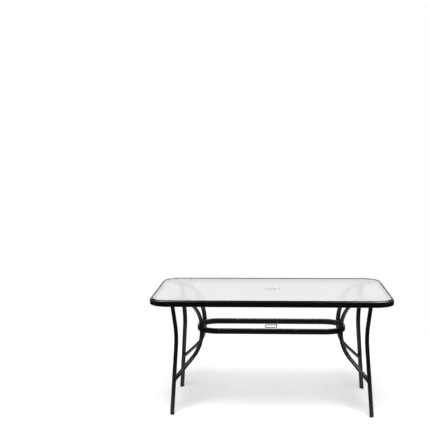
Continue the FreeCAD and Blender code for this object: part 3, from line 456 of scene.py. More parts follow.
def add_hole_rings(points, faces, gap_edge):
    """Adds rings of faces from the grid's square gap to the round hole, and returns the hole's line."""
    outer = gap_edge
    for step in range(1, PANE_HOLE_RINGS + 1):
        part = step / PANE_HOLE_RINGS
        inner = []
        for vertex in gap_edge:
            x, y = points[vertex]
            angle = math.atan2(y, x)
            inner.append(len(points))
            points.append((
                x + (PANE_HOLE_RADIUS * math.cos(angle) - x) * part,
                y + (PANE_HOLE_RADIUS * math.sin(angle) - y) * part,
            ))
        faces += zip(outer, outer[1:] + outer[:1], inner[1:] + inner[:1], inner)
        outer = inner
    return outer


def half_line(points, loop, side):
    """The part of a closed line on one side of X = 0, from one of its points on X = 0 to the other."""
    half = [v for v in loop if side * points[v][0] >= -ON_AXIS]
    while abs(points[half[0]][0]) > ON_AXIS or abs(points[half[-1]][0]) > ON_AXIS:
        half = half[1:] + half[:1]
    return half


def half_top(points, outline, hole, side):
    """One half of the pane's top as a line round it: out along the outline and back along the hole."""
    outer = half_line(points, outline, side)
    inner = half_line(points, hole, side)
    if (points[inner[0]][1] > 0) != (points[outer[-1]][1] > 0):
        inner = inner[::-1]
    return outer + inner


def make_pane():
    """The pane: smooth above, lumpy below, with its round corners and the hole."""
    low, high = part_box("glass_top")
    points, faces, outline, gap_edge = pane_grid(high.x, high.y)
    hole = add_hole_rings(points, faces, gap_edge)
    x, y = np.array(points).T
    from_edge = np.minimum(high.x - abs(x), high.y - abs(y))
    from_hole = np.hypot(x, y) - PANE_HOLE_RADIUS
    fade = np.clip(np.minimum(from_edge, from_hole) / PEBBLE_EDGE_FADE, 0, 1)
    heights = low.z + PEBBLE_DEPTH * (1 - pebbles(x, y)) * fade
    vertices = [(*point, height) for point, height in zip(points, heights)]

    # The edges go straight up to the smooth top, which is two halves that meet at the hole.
    top = {}
    for vertex in outline + hole:
        top[vertex] = len(vertices)
        vertices.append((*points[vertex], high.z))
    for loop, flip in ((outline, False), (hole, True)):
        for a, b in zip(loop, loop[1:] + loop[:1]):
            wall = [a, b, top[b], top[a]]
            faces.append(wall[::-1] if flip else wall)
    for side in (1, -1):
        faces.append([top[v] for v in half_top(points, outline, hole, side)])

    piece = mesh_object("pane", vertices, faces, MATERIALS["pebbled_glass"])
    built = bmesh.new()
    built.from_mesh(piece.data)
    bmesh.ops.recalc_face_normals(built, faces=built.faces)
    for face in built.faces:
        face.smooth = len(face.verts) == 4 and abs(face.normal.z) > LEVEL_NORMAL
    built.to_mesh(piece.data)
    built.free()
    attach(piece, "table")
    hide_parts("glass_top")


# Fasteners: button-headed socket screws of 6 mm thread, their washers, nuts and cap nuts
SCREW_RADIUS = 0.0030
SCREW_HEAD_RADIUS = 0.0055
SCREW_HEAD_HEIGHT = 0.0033
SCREW_HEAD_TOP_RADIUS = 0.0030
SCREW_HEAD_EDGE = 0.0001
SCREW_DOME_HEIGHT = 0.0029
SCREW_DOME_STEPS = 7
SOCKET_HALF_WIDTH = 0.0020
SOCKET_FLOOR_HALF_WIDTH = 0.00194
SOCKET_MOUTH_RADIUS = 0.00236
SOCKET_MOUTH_DEPTH = 0.00002
SOCKET_DEPTH = 0.0019
SOCKET_BEVEL = 0.0002
THREAD_PITCH = 0.0010
THREAD_DEPTH = 0.0004
THREAD_LENGTH = 0.0085
THREAD_ROWS_PER_TURN = 6
THREAD_END_BEVEL = 0.0002
NUT_HALF_WIDTH = 0.0050
NUT_END_HALF_WIDTH = 0.00495
NUT_END_RADIUS = 0.00515
NUT_HEIGHT = 0.0050
NUT_BORE = 0.0031
NUT_BORE_BEVEL = 0.0005
NUT_CHAMFER = 0.0006
CAP_NUT_BORE_DEPTH = 0.0012
CAP_NUT_DOME_RADIUS = 0.0044
CAP_NUT_DOME_STEPS = 8
WASHER_RADIUS = 0.0060
WASHER_BORE = 0.0033
WASHER_EDGE = 0.00025


def turned(profile, turns=48, closed=False):
    """Turns a profile about Z. A row is its radius, its height and, if it isn't round, a shape of angle."""
    vertices = []
    rows = []
    for radius, height, *shape in profile:
        if radius < ON_AXIS:
            rows.append([len(vertices)] * turns)
            vertices.append((0, 0, height))
            continue
        row = []
        for k in range(turns):
            angle = 2 * math.pi * k / turns
            reach = shape[0](angle, radius, height) if shape else radius
            row.append(len(vertices))
            vertices.append((reach * math.cos(angle), reach * math.sin(angle), height))
        rows.append(row)
    faces = []
    for low, high in zip(rows, rows[1:] + (rows[:1] if closed else [])):
        for k in range(turns):
            after = (k + 1) % turns
            face = list(dict.fromkeys((low[k], low[after], high[after], high[k])))
            if len(face) > 2:
                faces.append(face)
    return vertices, faces


def hexagon(angle, half_width, height):
    """A shape for turned(): a hexagon of this half width across its flats."""
    off_flat = (angle + math.pi / 6) % (math.pi / 3) - math.pi / 6
    return half_width / math.cos(off_flat)


def nut_end(angle, half_width, height):
    """A shape for turned(): the hexagon at a nut's end, whose corners the chamfer takes off."""
    return min(hexagon(angle, half_width, height), NUT_END_RADIUS)


def thread(angle, radius, height):
    """A shape for turned(): a screw thread of one start, cut into a shank of this radius."""
    turn = (height / THREAD_PITCH - angle / (2 * math.pi)) % 1
    return radius - THREAD_DEPTH * abs(2 * turn - 1)


def screw_profile(length):
    """A button-headed socket screw; the head's top is at height 0 and the shank's end at length."""
    rows = [(0, SOCKET_DEPTH), (SOCKET_FLOOR_HALF_WIDTH, SOCKET_DEPTH, hexagon)]
    rows += [(SOCKET_HALF_WIDTH, SOCKET_DEPTH - SOCKET_BEVEL, hexagon)]
    rows += [(SOCKET_HALF_WIDTH, SOCKET_BEVEL, hexagon)]
    rows += [(SOCKET_MOUTH_RADIUS, SOCKET_MOUTH_DEPTH), (SCREW_HEAD_TOP_RADIUS, 0)]
    dome = SCREW_HEAD_RADIUS - SCREW_HEAD_TOP_RADIUS
    for k in range(1, SCREW_DOME_STEPS + 1):
        turn = math.pi / 2 * k / SCREW_DOME_STEPS
        drop = SCREW_DOME_HEIGHT * (1 - math.cos(turn))
        rows.append((SCREW_HEAD_TOP_RADIUS + dome * math.sin(turn), drop))
    rows += [(SCREW_HEAD_RADIUS, SCREW_HEAD_HEIGHT - SCREW_HEAD_EDGE)]
    rows += [(SCREW_HEAD_RADIUS - SCREW_HEAD_EDGE, SCREW_HEAD_HEIGHT)]
    rows += [(SCREW_RADIUS, SCREW_HEAD_HEIGHT), (SCREW_RADIUS, length - THREAD_LENGTH)]
    steps = round(THREAD_LENGTH / THREAD_PITCH * THREAD_ROWS_PER_TURN)
    for k in range(1, steps):
        rows.append((SCREW_RADIUS, length - THREAD_LENGTH * (1 - k / steps), thread))
    rows += [(SCREW_RADIUS - THREAD_DEPTH - THREAD_END_BEVEL, length), (0, length)]
    return rows


def nut_profile(height):
    return [
        (NUT_BORE, NUT_BORE_BEVEL),
        (NUT_BORE + NUT_BORE_BEVEL, 0),
        (NUT_END_HALF_WIDTH, 0, nut_end),
        (NUT_HALF_WIDTH, NUT_CHAMFER, hexagon),
        (NUT_HALF_WIDTH, height - NUT_CHAMFER, hexagon),
        (NUT_END_HALF_WIDTH, height, nut_end),
        (NUT_BORE + NUT_BORE_BEVEL, height),
        (NUT_BORE, height - NUT_BORE_BEVEL),
    ]


def cap_nut_profile(length):
    """A cap nut: a chamfered hexagon under a turned dome that ends at length."""
    rows = [(0, CAP_NUT_BORE_DEPTH), (NUT_BORE, CAP_NUT_BORE_DEPTH)]
    rows += nut_profile(NUT_HEIGHT)[:6]
    for k in range(CAP_NUT_DOME_STEPS + 1):
        turn = math.pi / 2 * k / CAP_NUT_DOME_STEPS
        radius = CAP_NUT_DOME_RADIUS * math.cos(turn) if k < CAP_NUT_DOME_STEPS else 0
        rows.append((radius, NUT_HEIGHT + (length - NUT_HEIGHT) * math.sin(turn)))
    return rows


def washer_profile(thickness):
    return [
        (WASHER_BORE, WASHER_EDGE),
        (WASHER_BORE + WASHER_EDGE, 0),
        (WASHER_RADIUS - WASHER_EDGE, 0),
        (WASHER_RADIUS, WASHER_EDGE),
        (WASHER_RADIUS, thickness - WASHER_EDGE),
        (WASHER_RADIUS - WASHER_EDGE, thickness),
        (WASHER_BORE + WASHER_EDGE, thickness),
        (WASHER_BORE, thickness - WASHER_EDGE),
    ]


def solids_of(node):
    """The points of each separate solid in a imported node."""
    built = bmesh.new()
    built.from_mesh(nodes[node].data)
    bmesh.ops.remove_doubles(built, verts=built.verts, dist=SAME_POINT)
    seen = set()
    groups = []
    for start in built.verts:
        if start in seen:
            continue
        seen.add(start)
        waiting = [start]
        group = []
        while waiting:
            vertex = waiting.pop()
            group.append(vertex.co.copy())
            for edge in vertex.link_edges:
                other = edge.other_vert(vertex)
                if other not in seen:
                    seen.add(other)
                    waiting.append(other)
        groups.append(group)
    built.free()
    return groups


def upward(centre):
    """The direction of a corner's screw, wherever it is."""
    return UP


def inward(centre):
    """The direction of the corner's diagonal, towards the table's middle."""
    return -Vector((math.copysign(1, centre.x), math.copysign(1, centre.y), 0)).normalized()


def seats(node, axis_of):
    """Where each solid of a node is: a frame whose Z runs along the solid's axis, and its length on it."""
    found = []
    for points in solids_of(node):
        centre = sum(points, Vector()) / len(points)
        turn = axis_of(centre).to_track_quat("Z", "Y").to_matrix()
        local = [turn.transposed() @ p for p in points]
        low = Vector(min(p[i] for p in local) for i in range(3))
        high = Vector(max(p[i] for p in local) for i in range(3))
        middle = (low + high) / 2
        start = turn @ Vector((middle.x, middle.y, low.z))
        found.append((Matrix.Translation(start) @ turn.to_4x4(), high.z - low.z))
    return found


def joined(parts):
    """Joins parts, each placed by its own frame, into one list of vertices and one of faces."""
    vertices = []
    faces = []
    for place, (points, part_faces) in parts:
        start = len(vertices)
        vertices += [place @ Vector(p) for p in points]
        faces += [[start + i for i in face] for face in part_faces]
    return vertices, faces


def finish_piece(name, vertices, faces, material, body, slot, replaced=None, sharp_degrees=34):
    piece = mesh_object(name, vertices, faces, material)
    built = bmesh.new()
    built.from_mesh(piece.data)
    bmesh.ops.recalc_face_normals(built, faces=built.faces)
    limit = math.radians(sharp_degrees)
    for edge in built.edges:
        edge.smooth = len(edge.link_faces) == 2 and edge.calc_face_angle(0) < limit
    built.to_mesh(piece.data)
    built.free()
    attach(piece, body)
    if replaced:
        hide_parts(replaced)


def make_fasteners():
    """Every screw, bolt, washer and nut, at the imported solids' own places."""
    kinds = [
        ("corner_screws", upward, screw_profile, False),
        ("corner_washers", upward, washer_profile, True),
        ("corner_nuts", upward, nut_profile, True),
        ("stretcher_bolts", inward, screw_profile, False),
        ("stretcher_washers", inward, washer_profile, True),
        ("stretcher_nuts", inward, cap_nut_profile, False),
    ]
    for node, axis_of, profile, closed in kinds:
        parts = [(place, turned(profile(length), closed=closed)) for place, length in seats(node, axis_of)]
        vertices, faces = joined(parts)
        material = MATERIALS["black_fasteners"]
        finish_piece(f"{node}_detailed", vertices, faces, material, "table", "black_fasteners", node)


# Weld beads
BEAD_STEP = 0.0008
BEAD_RIPPLE = 0.0024
BEAD_SIDES = 8
# A bead's radius in shares of its size: an even part, the laid coins and some unevenness
BEAD_EVEN_SHARE = 0.90
BEAD_COIN_SHARE = 0.14
BEAD_UNEVEN_SHARE = 0.05
BEAD_UNEVEN_TURN = 1.3
BEAD_UNEVEN_PER_METRE = 900
BEAD_END_POWER = 6
BEAD_END_LEAST = 0.06
TAIL_BEAD_RADIUS = 0.0020
TOP_BEAD_RADIUS = 0.0018
LARGEST_BEAD_RADIUS = 0.0030
PLATE_BEAD_RADIUS = 0.0016
PLATE_BEAD_START = 12
PLATE_BEAD_DEGREES = 9
HOLDER_BEAD_RADIUS = 0.0013
# The bow's tail ends within the first of the leg, and the leg's top within the second of the bow's run.
JOINT_REACH = 0.0006
TOP_JOINT_REACH = 0.008
# A tube's end line has edges sharper than this, in radians, and the leg's lies this near its top.
JOINT_CREASE = 0.35
LEG_END_DEPTH = 0.0001
FEWEST_LINE_POINTS = 4
CIRCLE_TURNS = 24


def surface_of(node):
    """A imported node's surface, to look for nearest points and hits."""
    mesh = nodes[node].data
    points = [v.co.copy() for v in mesh.vertices]
    return BVHTree.FromPolygons(points, [list(p.vertices) for p in mesh.polygons])


def end_line(node, is_at_end):
    """The closed line of a tube's end: its sharp edges whose points pass the test, put in order."""
    built = bmesh.new()
    built.from_mesh(nodes[node].data)
    bmesh.ops.remove_doubles(built, verts=built.verts, dist=SAME_POINT)
    after = {}
    for edge in built.edges:
        if len(edge.link_faces) != 2 or edge.calc_face_angle(0) <= JOINT_CREASE:
            continue
        if all(is_at_end(v.co) for v in edge.verts):
            a, b = edge.verts
            after.setdefault(a, []).append(b)
            after.setdefault(b, []).append(a)
    order = [next(iter(after))]
    seen = set(order)
    while True:
        onward = [v for v in after[order[-1]] if v not in seen]
        if not onward:
            break
        order.append(onward[0])
        seen.add(onward[0])
    line = [v.co.copy() for v in order]
    built.free()
    return line


def evenly(line, closed=True):
    """The line again, with its points an even step apart."""
    corners = line + line[:1] if closed else line
    lengths = [0]
    for a, b in zip(corners, corners[1:]):
        lengths.append(lengths[-1] + (b - a).length)
    count = max(round(lengths[-1] / BEAD_STEP), FEWEST_LINE_POINTS)
    places = [lengths[-1] * k / count for k in range(count if closed else count + 1)]
    points = []
    span = 0
    for place in places:
        while span < len(corners) - 2 and lengths[span + 1] < place:
            span += 1
        part = (place - lengths[span]) / max(lengths[span + 1] - lengths[span], ON_AXIS)
        points.append(corners[span].lerp(corners[span + 1], part))
    return points


def bead(line, radii, closed=True):
    """A weld bead along a line, rippled like a row of laid coins. An open bead tapers at its ends."""
    count = len(line)
    centre = sum(line, Vector()) / count
    vertices = []
    rows = []
    for k, point in enumerate(line):
        before = line[(k - 1) % count] if closed or k > 0 else point
        after = line[(k + 1) % count] if closed or k < count - 1 else point
        along = (after - before).normalized()
        out = point - centre if closed else -UP
        out = (out - along * out.dot(along)).normalized()
        across = along.cross(out)
        place = k * BEAD_STEP / BEAD_RIPPLE
        uneven = math.sin(BEAD_UNEVEN_TURN * place + point.x * BEAD_UNEVEN_PER_METRE)
        coin = abs(math.sin(math.pi * place))
        radius = radii[k] * (BEAD_EVEN_SHARE + BEAD_COIN_SHARE * coin + BEAD_UNEVEN_SHARE * uneven)
        if not closed:
            off_middle = abs(2 * k / (count - 1) - 1)
            radius *= math.sqrt(max(1 - off_middle**BEAD_END_POWER, BEAD_END_LEAST))
        row = []
        for side in range(BEAD_SIDES):
            angle = 2 * math.pi * side / BEAD_SIDES
            row.append(len(vertices))
            vertices.append(point + radius * (out * math.cos(angle) + across * math.sin(angle)))
        rows.append(row)
    faces = []
    for low, high in zip(rows, rows[1:] + (rows[:1] if closed else [])):
        for side in range(BEAD_SIDES):
            other = (side + 1) % BEAD_SIDES
            faces.append((low[side], low[other], high[other], high[side]))
    if not closed:
        faces += [rows[0][::-1], rows[-1]]
    return vertices, faces


def finish_welds(name, beads):
    """Makes one painted piece of a few beads."""
    finish_piece(name, *joined([(Matrix(), one) for one in beads]), WELD_PAINT, "table", "frame_paint")


def make_leg_welds(corner):
    """Beads where the bow's tail ends on the leg and round the leg's top under the bow's run.

    The top's bead fills the gap under the run: half the gap higher, and a third of it thicker.
    """
    leg_surface = surface_of(f"leg_{corner}")
    bow_surface = surface_of(f"bow_{corner}")
    tail_line = evenly(end_line(f"bow_{corner}", lambda p: leg_surface.find_nearest(p)[3] < JOINT_REACH))
    leg_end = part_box(f"leg_{corner}")[1].z
    top_line = evenly(end_line(f"leg_{corner}", lambda p: p.z > leg_end - LEG_END_DEPTH))
    raised = []
    radii = []
    for point in top_line:
        gap = bow_surface.ray_cast(point - UP * LEG_END_DEPTH, UP, TOP_JOINT_REACH)[3] or 0
        raised.append(point + UP * (gap / 2))
        radii.append(min(TOP_BEAD_RADIUS + gap / 3, LARGEST_BEAD_RADIUS))
    tail_bead = bead(tail_line, [TAIL_BEAD_RADIUS] * len(tail_line))
    finish_welds(f"leg_welds_{corner}", [tail_bead, bead(raised, radii)])


def make_plate_welds(corner, side_x, side_y):
    """Two short beads that hold the corner's plate to the rim from below."""
    plate_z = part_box(f"corner_plate_{corner}")[0].z
    flat_x = HALF_LENGTH - RIM_CORNER_RADIUS
    flat_y = HALF_WIDTH - RIM_CORNER_RADIUS
    middle = Vector((side_x * flat_x, side_y * flat_y, plate_z))
    reach = RIM_CORNER_RADIUS - RIM_WIDTH - PLATE_FIT_GAP
    diagonal = math.atan2(side_y, side_x)
    steps = range(PLATE_BEAD_DEGREES + 1)
    beads = []
    for side in (-1, 1):
        turns = [diagonal + side * math.radians(PLATE_BEAD_START + k) for k in steps]
        line = evenly([middle + reach * Vector((math.cos(a), math.sin(a), 0)) for a in turns], closed=False)
        beads.append(bead(line, [PLATE_BEAD_RADIUS] * len(line), closed=False))
    finish_welds(f"plate_welds_{corner}", beads)


def circle_line(centre, first, second, radius):
    """Points round a circle that two directions span."""
    angles = [2 * math.pi * k / CIRCLE_TURNS for k in range(CIRCLE_TURNS)]
    return [centre + radius * (first * math.cos(a) + second * math.sin(a)) for a in angles]


def make_holder_welds():
    """The beads that close the holder's rod on itself and hold its arm to the loop."""
    x_way, y_way = Vector((1, 0, 0)), Vector((0, 1, 0))
    junction = Vector((HOLDER_HALF - HOLDER_ROD_RADIUS, HOLDER_HALF, LOOP_HEIGHT))
    arm_end = Vector((HOLDER_HALF, LOOP_INNER_FACE, LOOP_HEIGHT))
    beads = []
    for centre, across in ((junction, y_way), (arm_end, x_way)):
        line = evenly(circle_line(centre, across, UP, HOLDER_ROD_RADIUS))
        beads.append(bead(line, [HOLDER_BEAD_RADIUS] * len(line)))
    finish_welds("holder_welds", beads)


# Ring
RING_BORE = 0.0224
RING_SLEEVE = 0.0259
RING_FLANGE = 0.0320
RING_FLANGE_THICKNESS = 0.0030
RING_FLANGE_ROUND = 0.0015
RING_RECESS = 0.0246
RING_RECESS_DEPTH = 0.0016
SMALL_ROUND = 0.0003
RING_TURNS = 144
ROUND_STEPS = 5
HOOKS = 6
HOOK_REACH = 0.0010
HOOK_HALF_ANGLE = math.radians(7)
# The hooks' top is this far below the pane. Their other heights are measured from that top.
HOOK_TOP = 0.0004
HOOK_LEDGE = 0.0002
HOOK_LIP = 0.0006
HOOK_LENGTH = 0.0026
NOTCHES = 3
NOTCH_REACH = 0.0007
NOTCH_HALF_ANGLE = math.radians(12)
WINDOW_SLOPE = math.radians(2.5)
PLASTIC_CREASE_DEGREES = 50


def window(angle, count, half_angle):
    """1 in evenly spread windows round the circle and 0 outside them, with short slopes."""
    spacing = 2 * math.pi / count
    off_middle = abs((angle + spacing / 2) % spacing - spacing / 2)
    return min(max((half_angle - off_middle) / WINDOW_SLOPE + 0.5, 0), 1)


def hooked(angle, radius, height):
    """A shape for turned(): the sleeve with its hooks."""
    return radius + HOOK_REACH * window(angle, HOOKS, HOOK_HALF_ANGLE)


def notched(angle, radius, height):
    """A shape for turned(): the recess with its notches."""
    return radius + NOTCH_REACH * window(angle, NOTCHES, NOTCH_HALF_ANGLE)


def rounded_corner(radius, height, size):
    """Rows up along a quarter round of this size about a middle at radius and height."""
    angles = [math.radians(90 * k / ROUND_STEPS) for k in range(ROUND_STEPS + 1)]
    return [(radius + size * math.cos(a), height + size * math.sin(a)) for a in angles]


def make_ring():
    """The clear ring: a round-edged flange, a recess with notches and a sleeve with small hooks."""
    low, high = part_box("umbrella_ring")
    seat = high.z - RING_FLANGE_THICKNESS
    floor = high.z - RING_RECESS_DEPTH
    hook_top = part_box("glass_top")[0].z - HOOK_TOP
    small = SMALL_ROUND
    rows = [(RING_BORE, low.z + small), (RING_BORE + small, low.z)]
    rows += [(RING_SLEEVE - small, low.z), (RING_SLEEVE, low.z + small)]
    rows += [(RING_SLEEVE, hook_top - HOOK_LENGTH), (RING_SLEEVE, hook_top - HOOK_LIP, hooked)]
    rows += [(RING_SLEEVE, hook_top, hooked), (RING_SLEEVE, hook_top + HOOK_LEDGE)]
    rows += [(RING_SLEEVE, seat), (RING_FLANGE - small, seat), (RING_FLANGE, seat + small)]
    rows += rounded_corner(RING_FLANGE - RING_FLANGE_ROUND, high.z - RING_FLANGE_ROUND, RING_FLANGE_ROUND)
    rows += [(RING_RECESS + small, high.z, notched), (RING_RECESS, high.z - small, notched)]
    rows += [(RING_RECESS, floor + small, notched), (RING_RECESS - small, floor)]
    rows += [(RING_BORE + small, floor), (RING_BORE, floor - small)]
    vertices, faces = turned(rows, RING_TURNS, closed=True)
    finish_piece(
        "umbrella_ring_detailed", vertices, faces, MATERIALS["clear_plastic"], "table", "clear_plastic",
        "umbrella_ring", sharp_degrees=PLASTIC_CREASE_DEGREES,
    )


# Cap
CAP_RADIUS = 0.0234
CAP_PLATE = 0.0014
CAP_EDGE_ROUND = 0.0006
CAP_LIP_OUTER = 0.0219
CAP_LIP_INNER = 0.0205
# The dish falls from its brink over a shoulder and a slope to its floor.
CAP_DISH_BRINK = 0.0187
CAP_DISH_SHOULDER = 0.0181
CAP_DISH_SHOULDER_DROP = 0.00015
CAP_DISH_SLOPE = 0.0175
CAP_DISH_SLOPE_RISE = 0.0001
CAP_DISH_FLOOR = 0.0166
CAP_DISH_DEPTH = 0.0006


def make_cap():
    """The cap: a plate with a soft dish on top and a lip below."""
    low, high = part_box("hole_cap")
    centre = (low + high) / 2
    thickness = high.z - low.z
    plate = thickness - CAP_PLATE
    dish = thickness - CAP_DISH_DEPTH
    small = SMALL_ROUND
    rows = [(0, plate), (CAP_LIP_INNER - small, plate), (CAP_LIP_INNER, plate - small)]
    rows += [(CAP_LIP_INNER, small), (CAP_LIP_INNER + small, 0), (CAP_LIP_OUTER - small, 0)]
    rows += [(CAP_LIP_OUTER, small), (CAP_LIP_OUTER, plate), (CAP_RADIUS - small, plate)]
    rows += [(CAP_RADIUS, plate + small)]
    rows += rounded_corner(CAP_RADIUS - CAP_EDGE_ROUND, thickness - CAP_EDGE_ROUND, CAP_EDGE_ROUND)
    rows += [(CAP_DISH_BRINK, thickness), (CAP_DISH_SHOULDER, thickness - CAP_DISH_SHOULDER_DROP)]
    rows += [(CAP_DISH_SLOPE, dish + CAP_DISH_SLOPE_RISE), (CAP_DISH_FLOOR, dish), (0, dish)]
    vertices, faces = turned(rows, RING_TURNS)
    place = Matrix.Translation((centre.x, centre.y, low.z))
    vertices = [place @ Vector(v) for v in vertices]
    finish_piece(
        "hole_cap_detailed", vertices, faces, MATERIALS["clear_plastic"], "cap", "clear_plastic",
        "hole_cap", sharp_degrees=PLASTIC_CREASE_DEGREES,
    )


# Camera

# It is fitted to the photograph, whose frame is 428 pixels wide and high. Its angles are in degrees.
PHOTO_PIXELS = 428
FOCAL_PIXELS = 841.7
SENSOR_WIDTH = 36.0
CAMERA_PLACE = Vector((0.0116, -5.0750, 1.6130))
CAMERA_YAW = -3.994
CAMERA_PITCH = 5.129
CAMERA_ROLL = 0.526
CAMERA_NEAR = 0.05
CAMERA_FAR = 200


def make_camera():
    """A camera at the photograph's place, turned by yaw, pitch and roll from a look along +Y."""
    yaw, pitch, roll = (math.radians(a) for a in (CAMERA_YAW, CAMERA_PITCH, CAMERA_ROLL))
    ahead = Vector((math.sin(yaw) * math.cos(pitch), math.cos(yaw) * math.cos(pitch), -math.sin(pitch)))
    level_right = Vector((math.cos(yaw), -math.sin(yaw), 0))
    level_down = ahead.cross(level_right)
    right = level_right * math.cos(roll) + level_down * math.sin(roll)
    down = level_down * math.cos(roll) - level_right * math.sin(roll)
    data = bpy.data.cameras.new("camera")
    data.sensor_width = SENSOR_WIDTH
    data.lens = FOCAL_PIXELS / PHOTO_PIXELS * SENSOR_WIDTH
    data.clip_start = CAMERA_NEAR
    data.clip_end = CAMERA_FAR
    camera = bpy.data.objects.new("camera", data)
    turn = Matrix((right, -down, -ahead)).transposed().to_4x4()
    camera.matrix_world = Matrix.Translation(CAMERA_PLACE) @ turn
    bpy.context.scene.collection.objects.link(camera)
    bpy.context.scene.camera = camera


# Floor
FLOOR_RADIUS = 30.0
FLOOR_SEGMENTS = 96
FLOOR_COLOUR = 0.90
FLOOR_ROUGHNESS = 0.9
# A look sees the table's shadow, lifted by a glow, near the table and plain white further off.
FLOOR_LIFT = 0.24
FLOOR_PLAIN_FROM = 1.3
FLOOR_PLAIN_TO = 2.3
# In reflections the floor is bright by the table and falls off into the dark of the studio.
FLOOR_SHINE_BRIGHT = 0.85
FLOOR_SHINE_DARK = 0.02
FLOOR_SHINE_FROM = 0.9
FLOOR_SHINE_TO = 1.6


def looked_at(tree, path):
    """1 for a ray from the camera, straight or through glass."""
    return combine(tree, "MAXIMUM", path.outputs["Is Camera Ray"], path.outputs["Is Transmission Ray"])


def mirrored(tree, path):
    """1 for a ray that a surface reflects, 0 for one that it lets through, which is a glossy ray too."""
    glossy = path.outputs["Is Glossy Ray"]
    return combine(tree, "SUBTRACT", glossy, path.outputs["Is Transmission Ray"], use_clamp=True)


def glow(tree, strength):
    """A white Emission shader."""
    node = add_node(tree, "ShaderNodeEmission")
    node.inputs["Strength"].default_value = strength
    return node


def floor_material():
    """What a look, a reflection and the lamps' light each see of the floor. From below there is none."""
    material, tree, matt = new_material("floor")
    matt.inputs["Base Color"].default_value = (FLOOR_COLOUR, FLOOR_COLOUR, FLOOR_COLOUR, 1)
    matt.inputs["Roughness"].default_value = FLOOR_ROUGHNESS
    matt.inputs["Specular IOR Level"].default_value = 0.0
    near = add_node(tree, "ShaderNodeAddShader")
    tree.links.new(matt.outputs["BSDF"], near.inputs[0])
    tree.links.new(glow(tree, FLOOR_LIFT).outputs["Emission"], near.inputs[1])
    place = add_node(tree, "ShaderNodeTexCoord")
    distance = add_node(tree, "ShaderNodeVectorMath", operation="LENGTH")
    tree.links.new(place.outputs["Object"], distance.inputs[0])
    far = spread(tree, distance.outputs["Value"], FLOOR_PLAIN_FROM, FLOOR_PLAIN_TO, 0, 1)
    looked = mix_shaders(tree, far, near.outputs["Shader"], glow(tree, 1.0).outputs["Emission"])
    path = add_node(tree, "ShaderNodeLightPath")
    surface = mix_shaders(tree, looked_at(tree, path), matt.outputs["BSDF"], looked)
    shine = glow(tree, FLOOR_SHINE_BRIGHT)
    shine_ends = (FLOOR_SHINE_FROM, FLOOR_SHINE_TO, FLOOR_SHINE_BRIGHT, FLOOR_SHINE_DARK)
    falloff = spread(tree, distance.outputs["Value"], *shine_ends)
    tree.links.new(falloff, shine.inputs["Strength"])
    surface = mix_shaders(tree, mirrored(tree, path), surface, shine.outputs["Emission"])
    side = add_node(tree, "ShaderNodeNewGeometry")
    clear = add_node(tree, "ShaderNodeBsdfTransparent")
    set_surface(tree, mix_shaders(tree, side.outputs["Backfacing"], surface, clear.outputs["BSDF"]))
    return material


def make_floor():
    """A pale floor that keeps the table's shadow and turns plain white away from it."""
    built = bmesh.new()
    bmesh.ops.create_circle(built, cap_ends=True, segments=FLOOR_SEGMENTS, radius=FLOOR_RADIUS)
    mesh = bpy.data.meshes.new("floor")
    built.to_mesh(mesh)
    built.free()
    mesh.materials.append(floor_material())
    floor = bpy.data.objects.new("floor", mesh)
    bpy.context.scene.collection.objects.link(floor)


# World
AMBIENT = 0.30

# Reflections see a studio: white at the sides and behind, dim in front and dark overhead.
STUDIO_DARK = 0.004
STUDIO_FRONT = 0.12
# A wall begins to show where this much of a direction, of 1, leads to it, and is full at the second.
STUDIO_WALL_FROM = 0.75
STUDIO_WALL_TO = 0.95


def background(tree, strength):
    """A white Background shader."""
    node = add_node(tree, "ShaderNodeBackground")
    node.inputs["Color"].default_value = (1, 1, 1, 1)
    node.inputs["Strength"].default_value = strength
    return node


def make_world():
    """White for looks, an even fill for light, and a studio with a dark roof for reflections."""
    world = bpy.data.worlds.new("studio")
    bpy.context.scene.world = world
    world.use_nodes = True
    tree = world.node_tree
    tree.nodes.clear()
    output = add_node(tree, "ShaderNodeOutputWorld")
    place = add_node(tree, "ShaderNodeTexCoord")
    parts = add_node(tree, "ShaderNodeSeparateXYZ")
    tree.links.new(place.outputs["Generated"], parts.inputs["Vector"])
    sideways = add_node(tree, "ShaderNodeMath", operation="ABSOLUTE")
    tree.links.new(parts.outputs["X"], sideways.inputs[0])
    around = combine(tree, "MAXIMUM", sideways.outputs["Value"], parts.outputs["Y"])
    walls = spread(tree, around, STUDIO_WALL_FROM, STUDIO_WALL_TO, STUDIO_DARK, 1.0)
    front = spread(tree, parts.outputs["Y"], -STUDIO_WALL_FROM, -STUDIO_WALL_TO, 0.0, STUDIO_FRONT)
    studio = background(tree, 1.0)
    tree.links.new(combine(tree, "ADD", walls, front), studio.inputs["Color"])
    fill = background(tree, AMBIENT)
    white = background(tree, 1.0)
    path = add_node(tree, "ShaderNodeLightPath")
    seen = mix_shaders(tree, looked_at(tree, path), fill.outputs["Background"], white.outputs["Background"])
    seen = mix_shaders(tree, mirrored(tree, path), seen, studio.outputs["Background"])
    tree.links.new(seen, output.inputs["Surface"])


# Lamps
KEY_PLACE = (0.0, -1.7, 3.2)
KEY_STRENGTH = 2.7
KEY_ANGLE = 31
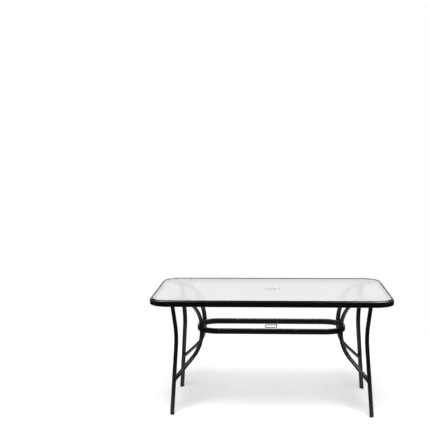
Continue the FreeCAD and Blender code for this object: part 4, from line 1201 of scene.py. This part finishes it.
# The right softbox is over the table's right end, and the left one mirrors it.
SOFTBOX_PLACE = (1.45, 0.1, 2.7)
SOFTBOX_TARGET = (0.7, 0, 0.7)
SOFTBOX_WIDTH = 1.5
SOFTBOX_DEPTH = 1.3
RIGHT_SOFTBOX_WATTS = 150
LEFT_SOFTBOX_WATTS = 90


def add_lamp(name, kind, place, target, energy):
    """A lamp at a place, turned to a target."""
    data = bpy.data.lights.new(name, kind)
    data.energy = energy
    lamp = bpy.data.objects.new(name, data)
    lamp.location = place
    direction = Vector(target) - Vector(place)
    lamp.rotation_mode = "QUATERNION"
    lamp.rotation_quaternion = direction.to_track_quat("-Z", "Y")
    bpy.context.scene.collection.objects.link(lamp)
    return lamp


def mirrored_place(place, side):
    return (side * place[0], *place[1:])


def make_lamps():
    """A wide soft key from above and in front, and two softboxes for the painted pieces' gloss."""
    key = add_lamp("key", "SUN", KEY_PLACE, (0, 0, 0), KEY_STRENGTH)
    key.data.angle = math.radians(KEY_ANGLE)
    key.visible_glossy = False
    glossy = bpy.data.collections.new("painted_pieces")
    for piece in bpy.context.scene.objects:
        if piece.type == "MESH" and piece.data.materials and piece.data.materials[0] in PAINTED:
            glossy.objects.link(piece)
    softboxes = (("right_softbox", 1, RIGHT_SOFTBOX_WATTS), ("left_softbox", -1, LEFT_SOFTBOX_WATTS))
    for name, side, watts in softboxes:
        place = mirrored_place(SOFTBOX_PLACE, side)
        softbox = add_lamp(name, "AREA", place, mirrored_place(SOFTBOX_TARGET, side), watts)
        softbox.data.shape = "RECTANGLE"
        softbox.data.size = SOFTBOX_WIDTH
        softbox.data.size_y = SOFTBOX_DEPTH
        softbox.visible_diffuse = False
        softbox.light_linking.receiver_collection = glossy


dress_frame()
make_pane()
make_fasteners()
for corner, (side_x, side_y) in CORNERS.items():
    make_leg_welds(corner)
    make_plate_welds(corner, side_x, side_y)
make_holder_welds()
make_ring()
make_cap()
make_camera()
make_floor()
make_world()
make_lamps()

bpy.context.scene.view_settings.view_transform = "Standard"
